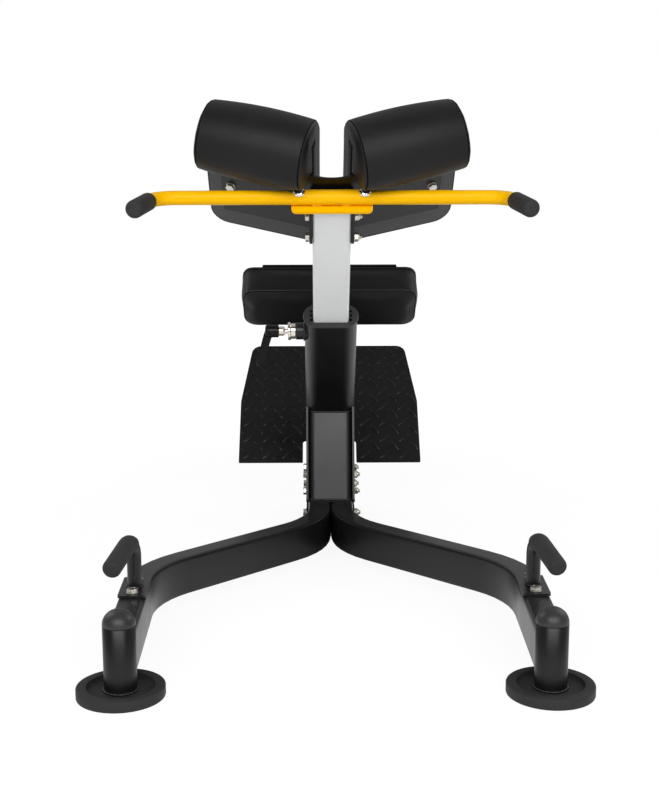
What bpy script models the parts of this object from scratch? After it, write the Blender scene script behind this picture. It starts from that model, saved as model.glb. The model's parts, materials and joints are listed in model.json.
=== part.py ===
"""Hyperextension bench: a sliding mast leaning at 45 degrees, split thigh pads,
a pull bar, a calf pad over a tread plate, and a push-up handle on each front leg.

World: X to the right, Y to the back, Z up. The head end, with its pads and bar, faces -Y.
Pieces of the mast are drawn in its own frame: z runs up along the mast from the point
where its axis meets the floor, and y is the mast's back, so -y faces down and forward.
"""
import math

import bmesh
import bpy
from mathutils import Matrix, Vector

# Clearances
SEAT = 0.0003
RUN = 0.0005
HOLE = 0.0004

# Front feet
FOOT_X = 0.379
FOOT_REACH = 1.3334
POST_R = 0.0294
POST_TOP = 0.1298
POST_WALL = 0.003
POST_FLANGE_R = 0.0330
POST_FLANGE_T = 0.006
PAD_R = 0.0788
PAD_H = 0.0196
PAD_RECESS_R = 0.0598
PAD_FLOOR = 0.011
PAD_EDGE = 0.003

# Legs, drawn in plan along their centre lines
LEG_W = 0.054
LEG_H = 0.081
LEG_BOTTOM = 0.033
LEG_CORNER = 0.008
LEG_WALL = 0.003
LEG_TOE_IN = math.radians(1.7)
LEG_DIAGONAL = math.radians(45)
LEG_BEND_R = 0.230
LEG_JOIN_Y = -0.5709
LEG_END_Y = -0.3479

# Junction box, spine and rear foot behind the legs
BOX_D = 0.125
BOX_TOP = 0.175
BOX_CORNER = 0.006
BOX_WALL = 0.005
SPINE_END_Y = -0.030
REAR_FOOT_Y = -0.100
REAR_FOOT_R = 0.052
CHEEK_T = 0.005
HITCH_FRONT_Y = -0.4256
HITCH_LOW = 0.040
HITCH_HIGH = 0.094
HITCH_BACK_INSET = 0.008
HITCH_FRONT_CORNER = 0.020
HITCH_BACK_CORNER = 0.004

# Mast sleeve, its liner and its brace
MAST_LEAN = math.radians(45)
SLEEVE_HALF_W = 0.060
SLEEVE_HALF_D = 0.0308
SLEEVE_WALL = 0.004
MOUTH_T = 0.8304
LINER_LIP = 0.003
LINER_LIP_T = 0.005
LINER_DEPTH = 0.095
LINER_POCKET = 0.0075
LINER_POCKET_H = 0.0075
LINER_POCKET_PITCH = 0.0125
BRACE_D = 0.060
BRACE_CORNER = 0.018
BRACE_WALL = 0.004
BRACE_LEAN = math.radians(73.8)
BRACE_FRONT_Y = -0.4326
BRACE_FOOT_T = 0.005
BRACE_FOOT_HALF_W = 0.060
BRACE_FOOT_FRONT = 0.0035
BRACE_FOOT_BACK = 0.016
BRACE_FOOT_CORNER = 0.004
BRACE_REACH = 0.45
CHEEK_SETBACK = 0.0025
CHEEK_BACK_Y = -0.2260
CHEEK_LOW = 0.098
CHEEK_CORNER = 0.010

# Bolts through the cheeks: heights and distances ahead of the mast's foot
CHEEK_BOLT_Y = (-0.325, -0.245)
CHEEK_BOLT_Z = (0.116, 0.1585)
LEG_BOLT_Y = -0.3756
LEG_BOLT_Z = 0.073
BOLT_R = 0.005
BOLT_AF = 0.017
BOLT_HEAD_H = 0.0064
BOLT_NUT_H = 0.0095
WASHER_R = 0.0100
WASHER_T = 0.0018

# Tread plate and its bracket, square to the mast
TREAD_T = 0.2725
TREAD_THICK = 0.005
TREAD_LOW = 0.0366
TREAD_BACK = 0.3454
TREAD_HALF_W = 0.238
TREAD_TOP_HALF_W = 0.2095
TREAD_TAPER = 0.158
TREAD_CORNER = 0.026
TREAD_SIDE_R = 0.060
TREAD_LOW_CORNER = 0.003
TREAD_NOTCH_CORNER = 0.008
TREAD_NOTCH_HALF_W = 0.070
TREAD_RAIL_HALF_W = 0.030
TREAD_RAIL_D = 0.040
TREAD_RAIL_WALL = 0.004
TREAD_RAIL_INSET = 0.045
TREAD_RAIL_CORNER = 0.020

# Calf pad and its arm
CALF_T = 0.5435
CALF_LEN = 0.137
CALF_GAP = 0.202
CALF_THICK = 0.082
CALF_HALF_W = 0.219
CALF_CORNER = 0.030
CALF_PLATE_HALF_W = 0.168
CALF_PLATE_T = 0.005
CALF_PLATE_DROP = 0.001
CALF_PLATE_INSET = 0.014
CALF_PLATE_CORNER = 0.004
CALF_ARM_W = 0.050
CALF_ARM_WALL = 0.003
CALF_ARM_DROP = 0.028
CALF_ARM_BEND_R = 0.045
CALF_ARM_CORNER = 0.006
CALF_ARM_TOP_INSET = 0.022
CALF_BOLT_SPAN = 0.060
CALF_BOLT_RISE = 0.010
CALF_EDGE = 0.012

# Pull pin through the sleeve's left side
PIN_T = 0.7792
BOSS_R = 0.0197
BOSS_END = 0.0804
PIN_R = 0.006
PIN_SHAFT_R = 0.0050
COLLAR_R = 0.018
COLLAR_L = 0.0115
COLLAR_FLANGE_R = 0.021
COLLAR_FLANGE_T = 0.0066
PIN_PROUD = 0.0057
PIN_NUT_R = 0.011
PIN_NUT_L = 0.0150
HUB_R = 0.0146
HUB_L = 0.0310
LEVER_LEN = 0.075
LEVER_SPLAY = 0.028
LEVER_ROOT_R = 0.0100
LEVER_TIP_R = 0.0070
LEVER_ROOT_SHARE = 0.62

# Inner tube that slides in the sleeve
TUBE_HALF_W = 0.040
TUBE_HALF_D = 0.020
TUBE_CORNER = 0.006
TUBE_WALL = 0.003
TUBE_TOP_T = 1.1990
TUBE_LEN = 0.600
HOLE_PITCH = 0.030
HOLES_BELOW = 2
HOLES_ABOVE = 7

# Head bracket, bar and its plate
HEAD_LEN = 0.1075
HEAD_WALL = 0.006
HEAD_FRONT = 0.024
HEAD_CHAMFER = 0.012
HEAD_BOLT_DROP = (0.0935, 0.0305)
HEAD_BOLT_BACK = -0.008
BAR_R = 0.0145
BAR_FWD = 0.0057
BAR_HALF_STRAIGHT = 0.315
BAR_BEND_R = 0.050
BAR_BEND = math.radians(80)
BAR_RAKE = math.radians(36.4)
BAR_PLATE_T = 0.006
BAR_PLATE_HALF_W = 0.082
BAR_PLATE_HALF_D = 0.031
BAR_PLATE_CORNER = 0.010
BAR_BOLT_X = 0.066
BAR_BOLT_HEAD_R = 0.012
BAR_BOLT_HEAD_H = 0.0068
GRIP_R = 0.0178
GRIP_LEN = 0.098
GRIP_DOME = 0.006
GRIP_WALL_END = 0.006
GRIP_EDGE = 0.002

# Push-up handles on the legs
STEP_Y = -1.0886
STEP_PLATE_L = 0.116
STEP_PLATE_T = 0.005
STEP_PLATE_CORNER = 0.005
STEP_TUBE_R = 0.0140
STEP_RISE = 0.180
STEP_BEND_R = 0.030
STEP_BEND = math.radians(101)
STEP_BEND_STEPS = 7
STEP_SPLAY = math.radians(11)
STEP_BOLT_SPAN = 0.080
STEP_BOLT_DEPTH = 0.012

# Thigh pads. w runs outwards from a pad's inner end, p forwards from its back face
WING_ANGLE = math.radians(16.7)
PAD_INNER_X = 0.0187
PAD_BACK = 0.1054
PAD_W = 0.225
LEAF_T = 0.050
LEAF_LOW_T = 1.0335
BOARD_W = 0.233
BOARD_T = 0.012
BOARD_CORNER = 0.038
BOARD_INNER_CORNER = 0.018
BOARD_TOP_T = 1.3150
BOARD_TOP_CORNER = 0.010
ROLL_T = 1.2905
ROLL_R = 0.0765
LOBE_LOW_T = 1.2440
LOBE_GAP = 0.0030
LOBE_NOSE_R = 0.040
LOBE_NOSE_INSET = 0.004
LOBE_HEEL_R = 0.014
LOBE_HEEL_RISE = 0.006
LEAF_EDGE_R = 0.012
PLATE_T = 0.006
PLATE_W = 0.200
PLATE_LOW_T = 1.0805
PLATE_TOP_T = 1.3000
PLATE_DIP_T = 1.2255
PLATE_DIP_R = 0.097
PLATE_CORNER = 0.012
PAD_BOLT_W = (0.035, 0.180)
PAD_BOLT_T = 1.1555
PAD_BOLT_DEPTH = 0.008

# What follows from the sizes above
LEG_HALF = LEG_W / 2
LEG_TOP = LEG_BOTTOM + LEG_H
LEG_JOIN_X = LEG_HALF + SEAT / 2
BASE_HALF = LEG_JOIN_X + LEG_HALF
BOX_FRONT_Y = LEG_END_Y + SEAT
BOX_BACK_Y = BOX_FRONT_Y + BOX_D
CHEEK_IN = BASE_HALF + SEAT
CHEEK_OUT = CHEEK_IN + CHEEK_T
LEG_SLOPE = math.tan(LEG_TOE_IN)
DIAGONAL_SLOPE = math.tan(LEG_DIAGONAL)
TREAD_REAR_Y = (TREAD_BACK - TREAD_T + TREAD_THICK) * math.sin(MAST_LEAN)
SHIFT_Y = (FOOT_REACH + PAD_R - TREAD_REAR_Y) / 2
PAD_DEPTH_FRONT = LEAF_T + SEAT + BOARD_T
PLATE_BACK_P = PAD_DEPTH_FRONT + SEAT
PLATE_FRONT_P = PLATE_BACK_P + PLATE_T
HEAD_BACK = PAD_BACK - PLATE_FRONT_P * math.cos(WING_ANGLE) - SEAT
BAR_PLATE_LOW_T = TUBE_TOP_T + SEAT
BAR_T = BAR_PLATE_LOW_T + BAR_PLATE_T + SEAT + BAR_R
COLLAR_END = BOSS_END + SEAT + COLLAR_L + COLLAR_FLANGE_T
PIN_TIP_X = TUBE_HALF_W + SEAT

MATERIALS = {
    "frame_black": ((0.018, 0.018, 0.020), 0.42, 0.10),
    "frame_grey": ((0.075, 0.080, 0.085), 0.45, 0.20),
    "tread_black": ((0.016, 0.016, 0.017), 0.55, 0.05),
    "silver": ((0.62, 0.63, 0.63), 0.35, 0.40),
    "yellow": ((0.95, 0.50, 0.010), 0.28, 0.0),
    "vinyl": ((0.020, 0.020, 0.021), 0.55, 0.0),
    "board": ((0.045, 0.045, 0.047), 0.60, 0.0),
    "rubber": ((0.016, 0.016, 0.016), 0.75, 0.0),
    "grip": ((0.020, 0.020, 0.020), 0.80, 0.0),
    "liner": ((0.012, 0.012, 0.013), 0.50, 0.0),
    "cap_plastic": ((0.018, 0.018, 0.019), 0.40, 0.0),
    "zinc": ((0.55, 0.54, 0.50), 0.35, 0.90),
    "chrome": ((0.70, 0.70, 0.70), 0.15, 1.0),
    "lever_black": ((0.012, 0.012, 0.013), 0.30, 0.0),
}


def clear_scene():
    for obj in list(bpy.data.objects):
        bpy.data.objects.remove(obj)


def material(name):
    mat = bpy.data.materials.get(name)
    if mat is None:
        color, roughness, metallic = MATERIALS[name]
        mat = bpy.data.materials.new(name)
        mat.use_nodes = True
        shader = mat.node_tree.nodes["Principled BSDF"]
        shader.inputs["Base Color"].default_value = (*color, 1.0)
        shader.inputs["Roughness"].default_value = roughness
        shader.inputs["Metallic"].default_value = metallic
    return mat


def empty(name, parent=None, location=(0, 0, 0), lean=0.0):
    obj = bpy.data.objects.new(name, None)
    obj.location = location
    obj.rotation_euler = (lean, 0, 0)
    obj.parent = parent
    bpy.context.scene.collection.objects.link(obj)
    return obj


def finish(bm, name, mat, parent, smooth=35):
    """Close a bmesh into an object under its frame."""
    bmesh.ops.remove_doubles(bm, verts=bm.verts, dist=1e-6)
    bmesh.ops.recalc_face_normals(bm, faces=bm.faces)
    mesh = bpy.data.meshes.new(name)
    bm.to_mesh(mesh)
    bm.free()
    mesh.shade_smooth()
    mesh.set_sharp_from_angle(angle=math.radians(smooth))
    obj = bpy.data.objects.new(name, mesh)
    obj.parent = parent
    if mat:
        mesh.materials.append(material(mat))
    bpy.context.scene.collection.objects.link(obj)
    return obj


def shape_only(obj):
    """Mark an object as a cutter or a filler that isn't a piece of its own."""
    obj.hide_render = True
    obj.display_type = "WIRE"
    return obj


def combine(obj, other, operation="DIFFERENCE"):
    mod = obj.modifiers.new(f"{operation.lower()}_{other.name}", "BOOLEAN")
    mod.operation = operation
    mod.solver = "EXACT"
    mod.object = shape_only(other)


def arc(cx, cy, radius, start, end, steps):
    return [
        (cx + radius * math.cos(start + (end - start) * i / steps),
         cy + radius * math.sin(start + (end - start) * i / steps))
        for i in range(steps + 1)
    ]


def rounded(points, radii, steps=5):
    """A polygon whose corners are filleted, each by its own radius."""
    outline = []
    count = len(points)
    for i, point in enumerate(points):
        radius = radii[i] if isinstance(radii, (list, tuple)) else radii
        here = Vector(point)
        before = (Vector(points[i - 1]) - here).normalized()
        after = (Vector(points[(i + 1) % count]) - here).normalized()
        if radius <= 0:
            outline.append(tuple(here))
            continue
        half = before.angle(after) / 2
        reach = radius / math.tan(half)
        centre = here + (before + after).normalized() * (radius / math.sin(half))
        first = here + before * reach - centre
        last = here + after * reach - centre
        sweep_angle = first.angle_signed(last)
        for k in range(steps + 1):
            turned = first.copy()
            turned.rotate(Matrix.Rotation(-sweep_angle * k / steps, 2))
            outline.append(tuple(centre + turned))
    return outline


def rect(half_w, half_h, radius, steps=5):
    corners = [(-half_w, -half_h), (half_w, -half_h), (half_w, half_h), (-half_w, half_h)]
    return rounded(corners, radius, steps)


def flat_oval(half_w, half_d, steps=12):
    flat = half_w - half_d
    right = arc(flat, 0, half_d, -math.pi / 2, math.pi / 2, steps)
    left = arc(-flat, 0, half_d, math.pi / 2, 3 * math.pi / 2, steps)
    return right + left


def loft(bm, rings):
    """Join equal rings of points into one closed skin with flat ends."""
    loops = [[bm.verts.new(point) for point in ring] for ring in rings]
    count = len(loops[0])
    for low, high in zip(loops, loops[1:]):
        for i in range(count):
            j = (i + 1) % count
            bm.faces.new((low[i], low[j], high[j], high[i]))
    bm.faces.new(loops[0][::-1])
    bm.faces.new(loops[-1])


def prism(outline, low, high, place):
    bm = bmesh.new()
    loft(bm, [[place(u, v, w) for u, v in outline] for w in (low, high)])
    return bm


def along_z(u, v, w):
    return Vector((u, v, w))


def along_x(u, v, w):
    return Vector((w, u, v))


def along_y(u, v, w):
    return Vector((u, w, v))


def turned(profile, place=along_z, segments=24, hexes=(), bm=None):
    """Spin (height, radius) stations; the stations listed in hexes are hexagonal."""
    bm = bm or bmesh.new()
    rings = []
    for index, (height, radius) in enumerate(profile):
        ring = []
        for k in range(segments):
            angle = 2 * math.pi * k / segments
            reach = radius
            if index in hexes:
                side = (angle + math.pi / 6) % (math.pi / 3) - math.pi / 6
                reach = radius / math.cos(side)
            ring.append(place(reach * math.cos(angle), reach * math.sin(angle), height))
        rings.append(ring)
    loft(bm, rings)
    return bm


def shifted(place, origin, sign=1):
    """The same placing, moved to an origin and mirrored in x for the left side."""
    base = Vector(origin)

    def moved(u, v, w):
        point = place(u, v, w) + base
        return Vector((point.x * sign, point.y, point.z))

    return moved


def planar_path(points, radii, steps=10):
    """Points and tangents along a route of straights and tangent bends."""
    path = []
    vectors = [Vector(p) for p in points]
    path.append((vectors[0], (vectors[1] - vectors[0]).normalized()))
    for i in range(1, len(vectors) - 1):
        into = (vectors[i] - vectors[i - 1]).normalized()
        out = (vectors[i + 1] - vectors[i]).normalized()
        turn = into.angle_signed(out)
        radius = radii[i - 1]
        reach = radius * math.tan(abs(turn) / 2)
        start = vectors[i] - into * reach
        normal = Vector((-into.y, into.x)) * (-1 if turn > 0 else 1)
        centre = start + normal * radius
        for k in range(steps + 1):
            spin = Matrix.Rotation(-turn * k / steps, 2)
            path.append((centre + spin @ (start - centre), spin @ into))
    path.append((vectors[-1], (vectors[-1] - vectors[-2]).normalized()))
    return path


def lengthened(path, extra):
    """The same path, carried on past both its ends."""
    first, last = path[0], path[-1]
    return [(first[0] - first[1] * extra, first[1])] + path[1:-1] + [(last[0] + last[1] * extra, last[1])]


def sweep(path, outline, to_space, up):
    """Carry an outline of (across, up) points along a planar path."""
    bm = bmesh.new()
    rings = []
    for point, tangent in path:
        side = Vector((tangent.y, -tangent.x))
        rings.append([to_space(point + side * a) + up * b for a, b in outline])
    loft(bm, rings)
    return bm


def circle(radius, segments=24):
    return arc(0, 0, radius, 0, 2 * math.pi * (segments - 1) / segments, segments - 1)


def leg_route(sign):
    """Centre line in plan, from the foot post to the junction box."""
    foot = Vector((FOOT_X, -FOOT_REACH))
    # the toed-in front run meets the diagonal where both give the same x
    reach = (LEG_JOIN_X - FOOT_X) + (LEG_JOIN_Y + FOOT_REACH) / DIAGONAL_SLOPE
    run = reach / (LEG_SLOPE + 1 / DIAGONAL_SLOPE)
    knee = Vector((FOOT_X + run * LEG_SLOPE, -FOOT_REACH + run))
    join = Vector((LEG_JOIN_X, LEG_JOIN_Y))
    end = Vector((LEG_JOIN_X, LEG_END_Y))
    points = [foot, knee, join, end]
    return [(p.x * sign, p.y) for p in points]


def leg_centre_x(y):
    return FOOT_X + (y + FOOT_REACH) * LEG_SLOPE


def make_feet(bench, side, sign):
    x = FOOT_X * sign
    foot = (x, -FOOT_REACH, 0)
    cup = [
        (0, PAD_R - PAD_EDGE), (PAD_EDGE, PAD_R), (PAD_H - PAD_EDGE, PAD_R),
        (PAD_H, PAD_R - PAD_EDGE), (PAD_H, PAD_RECESS_R), (PAD_FLOOR, PAD_RECESS_R - 0.001),
    ]
    bm = turned(cup, shifted(along_z, foot), 28)
    finish(bm, f"foot_rubber_{side}", "rubber", bench)
    low = PAD_FLOOR + SEAT
    post = [
        (low, POST_FLANGE_R), (low + POST_FLANGE_T, POST_FLANGE_R),
        (low + POST_FLANGE_T, POST_R), (POST_TOP, POST_R),
        (POST_TOP, POST_R - POST_WALL), (low + POST_WALL, POST_R - POST_WALL),
    ]
    bm = turned(post, shifted(along_z, foot))
    finish(bm, f"foot_post_{side}", "frame_black", bench)
    base = POST_TOP + SEAT
    dome = [(base, POST_R)]
    for k in range(1, 6):
        angle = math.pi / 2 * k / 5.6
        dome.append((base + POST_R * math.sin(angle), POST_R * math.cos(angle)))
    bm = turned(dome, shifted(along_z, foot))
    finish(bm, f"foot_cap_{side}", "cap_plastic", bench)


def make_leg(bench, side, sign):
    """Bent rectangular tube, coped round the foot post, drilled for its bolts."""
    route = planar_path(leg_route(sign), [LEG_BEND_R, LEG_BEND_R], 6)
    middle = LEG_BOTTOM + LEG_H / 2

    def space(p):
        return Vector((p.x, p.y, middle))

    up = Vector((0, 0, 1))
    bm = sweep(route, rect(LEG_HALF, LEG_H / 2, LEG_CORNER, 2), space, up)
    leg = finish(bm, f"leg_{side}", "frame_black", bench)
    inside = rect(LEG_HALF - LEG_WALL, LEG_H / 2 - LEG_WALL, LEG_CORNER - LEG_WALL, 1)
    bm = sweep(lengthened(route, LEG_WALL), inside, space, up)
    combine(leg, finish(bm, f"leg_bore_{side}", None, bench))
    foot = (FOOT_X * sign, -FOOT_REACH, 0)
    cope = [(0, POST_R + SEAT), (LEG_TOP + PAD_H, POST_R + SEAT)]
    cutter = finish(turned(cope, shifted(along_z, foot)), f"cope_{side}", None, bench)
    combine(leg, cutter)
    for index, y in enumerate(step_bolt_ys()):
        place = shifted(along_z, (leg_centre_x(y) * sign, y, 0))
        hole = [(LEG_TOP - STEP_BOLT_DEPTH, BOLT_R + HOLE), (LEG_TOP + BOLT_R, BOLT_R + HOLE)]
        cutter = finish(turned(hole, place, 12), f"step_hole_{side}_{index}", None, bench)
        combine(leg, cutter)
    return leg


def step_bolt_ys():
    return (STEP_Y - STEP_BOLT_SPAN / 2, STEP_Y + STEP_BOLT_SPAN / 2)


def step_frame(bench, side, sign):
    """Frame of a push-up handle: on the leg's top, turned with the leg's toe-in."""
    obj = empty(f"step_frame_{side}", bench, (leg_centre_x(STEP_Y) * sign, STEP_Y, LEG_TOP + SEAT))
    obj.rotation_euler = (0, 0, -LEG_TOE_IN * sign)
    return obj


def make_step_handle(bench, side, sign):
    frame = step_frame(bench, side, sign)
    outline = rect(LEG_HALF, STEP_PLATE_L / 2, STEP_PLATE_CORNER, 4)
    bm = prism(outline, 0, STEP_PLATE_T, along_z)
    handle = finish(bm, f"step_handle_{side}", "frame_black", frame)
    for index, y in enumerate((-STEP_BOLT_SPAN / 2, STEP_BOLT_SPAN / 2)):
        hole = [(-BOLT_R, BOLT_R + HOLE), (2 * BOLT_R, BOLT_R + HOLE)]
        cutter = finish(turned(hole, shifted(along_z, (0, y, 0)), 12),
                        f"step_plate_hole_{side}_{index}", None, frame)
        combine(handle, cutter)
    path, to_space, up = step_route(sign)
    tube = sweep(path, circle(STEP_TUBE_R, 16), to_space, up)
    combine(handle, finish(tube, f"step_tube_{side}", None, frame), "UNION")
    # the grip starts on the bend, past the upright's end
    covered = path[2:-1]
    finish(grip_mesh(covered, to_space, up, STEP_TUBE_R), f"step_grip_{side}", "grip", frame)
    for index, y in enumerate((-STEP_BOLT_SPAN / 2, STEP_BOLT_SPAN / 2)):
        bm = bolt_mesh(STEP_PLATE_T + SEAT, -STEP_BOLT_DEPTH + BOLT_R / 2, shifted(along_z, (0, y, 0)))
        finish(bm, f"step_bolt_{side}_{index + 1}", "zinc", frame)


def step_route(sign):
    """Up from the plate, over a tight bend, then forwards, a little down and outwards."""
    low = STEP_PLATE_T / 2
    rise = STEP_RISE - LEG_TOP
    reach = STEP_BEND_R * math.tan(STEP_BEND / 2)
    heading = Vector((math.sin(STEP_BEND), math.cos(STEP_BEND)))
    corner = Vector((0, rise + reach))
    end = corner + heading * (reach + GRIP_LEN - GRIP_WALL_END - SEAT)
    path = planar_path([(0, low), tuple(corner), tuple(end)], [STEP_BEND_R], STEP_BEND_STEPS)
    ahead = Vector((math.sin(STEP_SPLAY) * sign, -math.cos(STEP_SPLAY), 0))
    up = ahead.cross(Vector((0, 0, 1)))
    return path, lambda p: ahead * p.x + Vector((0, 0, p.y)), up


def grip_mesh(path, to_space, up, bore_r):
    """Foam sleeve over the end of a tube, from the path's first point, with a domed end."""
    last, heading = path[-1]
    stations = [(last + heading * (GRIP_LEN - GRIP_WALL_END), heading, bore_r + SEAT)]
    stations += [(point, tangent, bore_r + SEAT) for point, tangent in path[::-1]]
    first, tangent = path[0]
    stations.append((first, tangent, GRIP_R - GRIP_EDGE))
    stations.append((first + tangent * GRIP_EDGE, tangent, GRIP_R))
    stations += [(point, tangent, GRIP_R) for point, tangent in path[1:]]
    for k in range(4):
        angle = math.pi / 2 * k / 4
        reach = GRIP_LEN - GRIP_DOME + GRIP_DOME * math.sin(angle)
        stations.append((last + heading * reach, heading, GRIP_R - GRIP_DOME + GRIP_DOME * math.cos(angle)))
    stations.append((last + heading * GRIP_LEN, heading, GRIP_R - GRIP_DOME))
    bm = bmesh.new()
    rings = []
    for point, tangent, radius in stations:
        side = Vector((tangent.y, -tangent.x))
        rings.append([to_space(point + side * a) + up * b for a, b in circle(radius, 16)])
    loft(bm, rings)
    return bm


def bolt_mesh(seat, tip, place, head_h=BOLT_HEAD_H):
    """Hex bolt with a washer: its head stands on seat, its shank ends at tip."""
    hex_r = BOLT_AF / 2
    top = seat + WASHER_T + head_h
    profile = [
        (tip, BOLT_R), (seat, BOLT_R), (seat, WASHER_R), (seat + WASHER_T, WASHER_R),
        (seat + WASHER_T, hex_r), (top, hex_r),
    ]
    return turned(profile, place, 12, hexes=(4, 5))


def through_bolt_mesh(half_grip, place):
    """Cross bolt: hex head and washer at one end, washer and nut at the other."""
    hex_r = BOLT_AF / 2
    seat = half_grip + SEAT
    tail = BOLT_R
    profile = [
        (-seat - WASHER_T - BOLT_HEAD_H, hex_r), (-seat - WASHER_T, hex_r),
        (-seat - WASHER_T, WASHER_R), (-seat, WASHER_R), (-seat, BOLT_R),
        (seat, BOLT_R), (seat, WASHER_R), (seat + WASHER_T, WASHER_R),
        (seat + WASHER_T, hex_r), (seat + WASHER_T + BOLT_NUT_H, hex_r),
        (seat + WASHER_T + BOLT_NUT_H, BOLT_R), (seat + WASHER_T + BOLT_NUT_H + tail, BOLT_R),
    ]
    return turned(profile, place, 12, hexes=(0, 1, 8, 9))


def cross_hole(name, y, z, half, parent, radius=BOLT_R + HOLE):
    """Cutter for a hole along x."""
    place = shifted(along_x, (0, y, z))
    return finish(turned([(-half, radius), (half, radius)], place, 12), name, None, parent)


def make_base(bench):
    """Junction box, spine, rear foot and the hitch plates that clamp the legs."""
    outline = rounded([(BOX_FRONT_Y, LEG_BOTTOM), (BOX_BACK_Y, LEG_BOTTOM),
                       (BOX_BACK_Y, BOX_TOP), (BOX_FRONT_Y, BOX_TOP)], BOX_CORNER, 2)
    bm = prism(outline, -BASE_HALF, BASE_HALF, along_x)
    box = finish(bm, "junction_box", "frame_black", bench)
    inside = [(-BASE_HALF + BOX_WALL, BOX_FRONT_Y + BOX_WALL), (BASE_HALF - BOX_WALL, BOX_FRONT_Y + BOX_WALL),
              (BASE_HALF - BOX_WALL, BOX_BACK_Y - BOX_WALL), (-BASE_HALF + BOX_WALL, BOX_BACK_Y - BOX_WALL)]
    bm = prism(inside, 0, BOX_TOP + BOX_WALL, along_z)
    combine(box, finish(bm, "box_bore", None, bench))
    middle = LEG_BOTTOM + LEG_H / 2
    bm = prism(rect(BASE_HALF, LEG_H / 2, LEG_CORNER, 4), BOX_BACK_Y + SEAT, SPINE_END_Y,
               lambda u, v, w: Vector((u, w, v + middle)))
    spine = finish(bm, "spine", "frame_black", bench)
    inside = rect(BASE_HALF - LEG_WALL, LEG_H / 2 - LEG_WALL, LEG_CORNER - LEG_WALL, 1)
    bm = prism(inside, BOX_FRONT_Y, SPINE_END_Y - LEG_WALL, lambda u, v, w: Vector((u, w, v + middle)))
    combine(spine, finish(bm, "spine_bore", None, bench))
    foot = [(0, REAR_FOOT_R - PAD_EDGE), (PAD_EDGE, REAR_FOOT_R), (PAD_H, REAR_FOOT_R),
            (PAD_H + PAD_EDGE, REAR_FOOT_R - PAD_EDGE), (LEG_BOTTOM - SEAT, REAR_FOOT_R - PAD_EDGE)]
    bm = turned(foot, shifted(along_z, (0, REAR_FOOT_Y, 0)))
    finish(bm, "rear_foot", "rubber", bench)
    legs = {}
    for side, sign in (("left", -1), ("right", 1)):
        legs[side] = make_leg(bench, side, sign)
        outline = rounded([(HITCH_FRONT_Y, HITCH_LOW), (BOX_BACK_Y - HITCH_BACK_INSET, HITCH_LOW),
                           (BOX_BACK_Y - HITCH_BACK_INSET, HITCH_HIGH), (HITCH_FRONT_Y, HITCH_HIGH)],
                          [HITCH_FRONT_CORNER, HITCH_BACK_CORNER, HITCH_BACK_CORNER, HITCH_FRONT_CORNER], 5)
        bm = prism(outline, CHEEK_IN * sign, CHEEK_OUT * sign, along_x)
        hitch = finish(bm, f"hitch_plate_{side}", "frame_black", bench)
        combine(hitch, cross_hole(f"hitch_hole_{side}", LEG_BOLT_Y, LEG_BOLT_Z, CHEEK_OUT * 2, bench))
        combine(legs[side], cross_hole(f"leg_hole_{side}", LEG_BOLT_Y, LEG_BOLT_Z, CHEEK_OUT * 2, bench))
    place = shifted(along_x, (0, LEG_BOLT_Y, LEG_BOLT_Z))
    finish(through_bolt_mesh(CHEEK_OUT, place), "leg_bolt", "zinc", bench)
    for row, z in enumerate(CHEEK_BOLT_Z):
        for column, y in enumerate(CHEEK_BOLT_Y):
            name = f"cheek_bolt_{row + 1}_{column + 1}"
            combine(box, cross_hole(f"box_hole_{row}_{column}", y, z, CHEEK_OUT * 2, bench))
            bm = through_bolt_mesh(CHEEK_OUT, shifted(along_x, (0, y, z)))
            finish(bm, name, "zinc", bench)


def sleeve_prism(half_w, half_d, low, high):
    return prism(flat_oval(half_w, half_d), low, high, along_z)


def make_brace(bench, mast):
    """Post from the legs to the mast's front, with a foot plate, coped to the sleeve."""
    foot_low = LEG_TOP + SEAT
    start = foot_low + BRACE_FOOT_T / 2
    lean = 1 / math.tan(BRACE_LEAN)
    thick = BRACE_D / math.sin(BRACE_LEAN)

    def leaning(outline):
        """Tube between the legs and the mast, leaning back, with this level section."""
        rings = []
        for z in (start, BRACE_REACH):
            y = BRACE_FRONT_Y + thick / 2 + (z - start) * lean
            rings.append([Vector((u, y + v, z)) for u, v in outline])
        bm = bmesh.new()
        loft(bm, rings)
        return bm

    brace = finish(leaning(rect(BASE_HALF, thick / 2, BRACE_CORNER, 6)), "brace", "frame_grey", bench)
    inside = rect(BASE_HALF - BRACE_WALL, thick / 2 - BRACE_WALL, BRACE_CORNER - BRACE_WALL, 3)
    combine(brace, finish(leaning(inside), "brace_bore", None, bench))
    cutter = finish(sleeve_prism(SLEEVE_HALF_W + SEAT, SLEEVE_HALF_D + SEAT, 0, MOUTH_T),
                    "brace_cope", None, mast)
    combine(brace, cutter)
    # what is left of the post behind the mast is cut away too
    behind = [(0, 0), (MOUTH_T, 0), (MOUTH_T, MOUTH_T), (0, MOUTH_T)]
    bm = prism(behind, -2 * BASE_HALF, 2 * BASE_HALF, along_x)
    combine(brace, finish(bm, "brace_trim", None, mast))
    front = BRACE_FRONT_Y - BRACE_FOOT_FRONT
    back = BRACE_FRONT_Y + thick + BRACE_FOOT_BACK
    outline = rounded([(-BRACE_FOOT_HALF_W, front), (BRACE_FOOT_HALF_W, front),
                       (BRACE_FOOT_HALF_W, back), (-BRACE_FOOT_HALF_W, back)], BRACE_FOOT_CORNER, 3)
    bm = prism(outline, foot_low, foot_low + BRACE_FOOT_T, along_z)
    combine(brace, finish(bm, "brace_foot", None, bench), "UNION")


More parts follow.
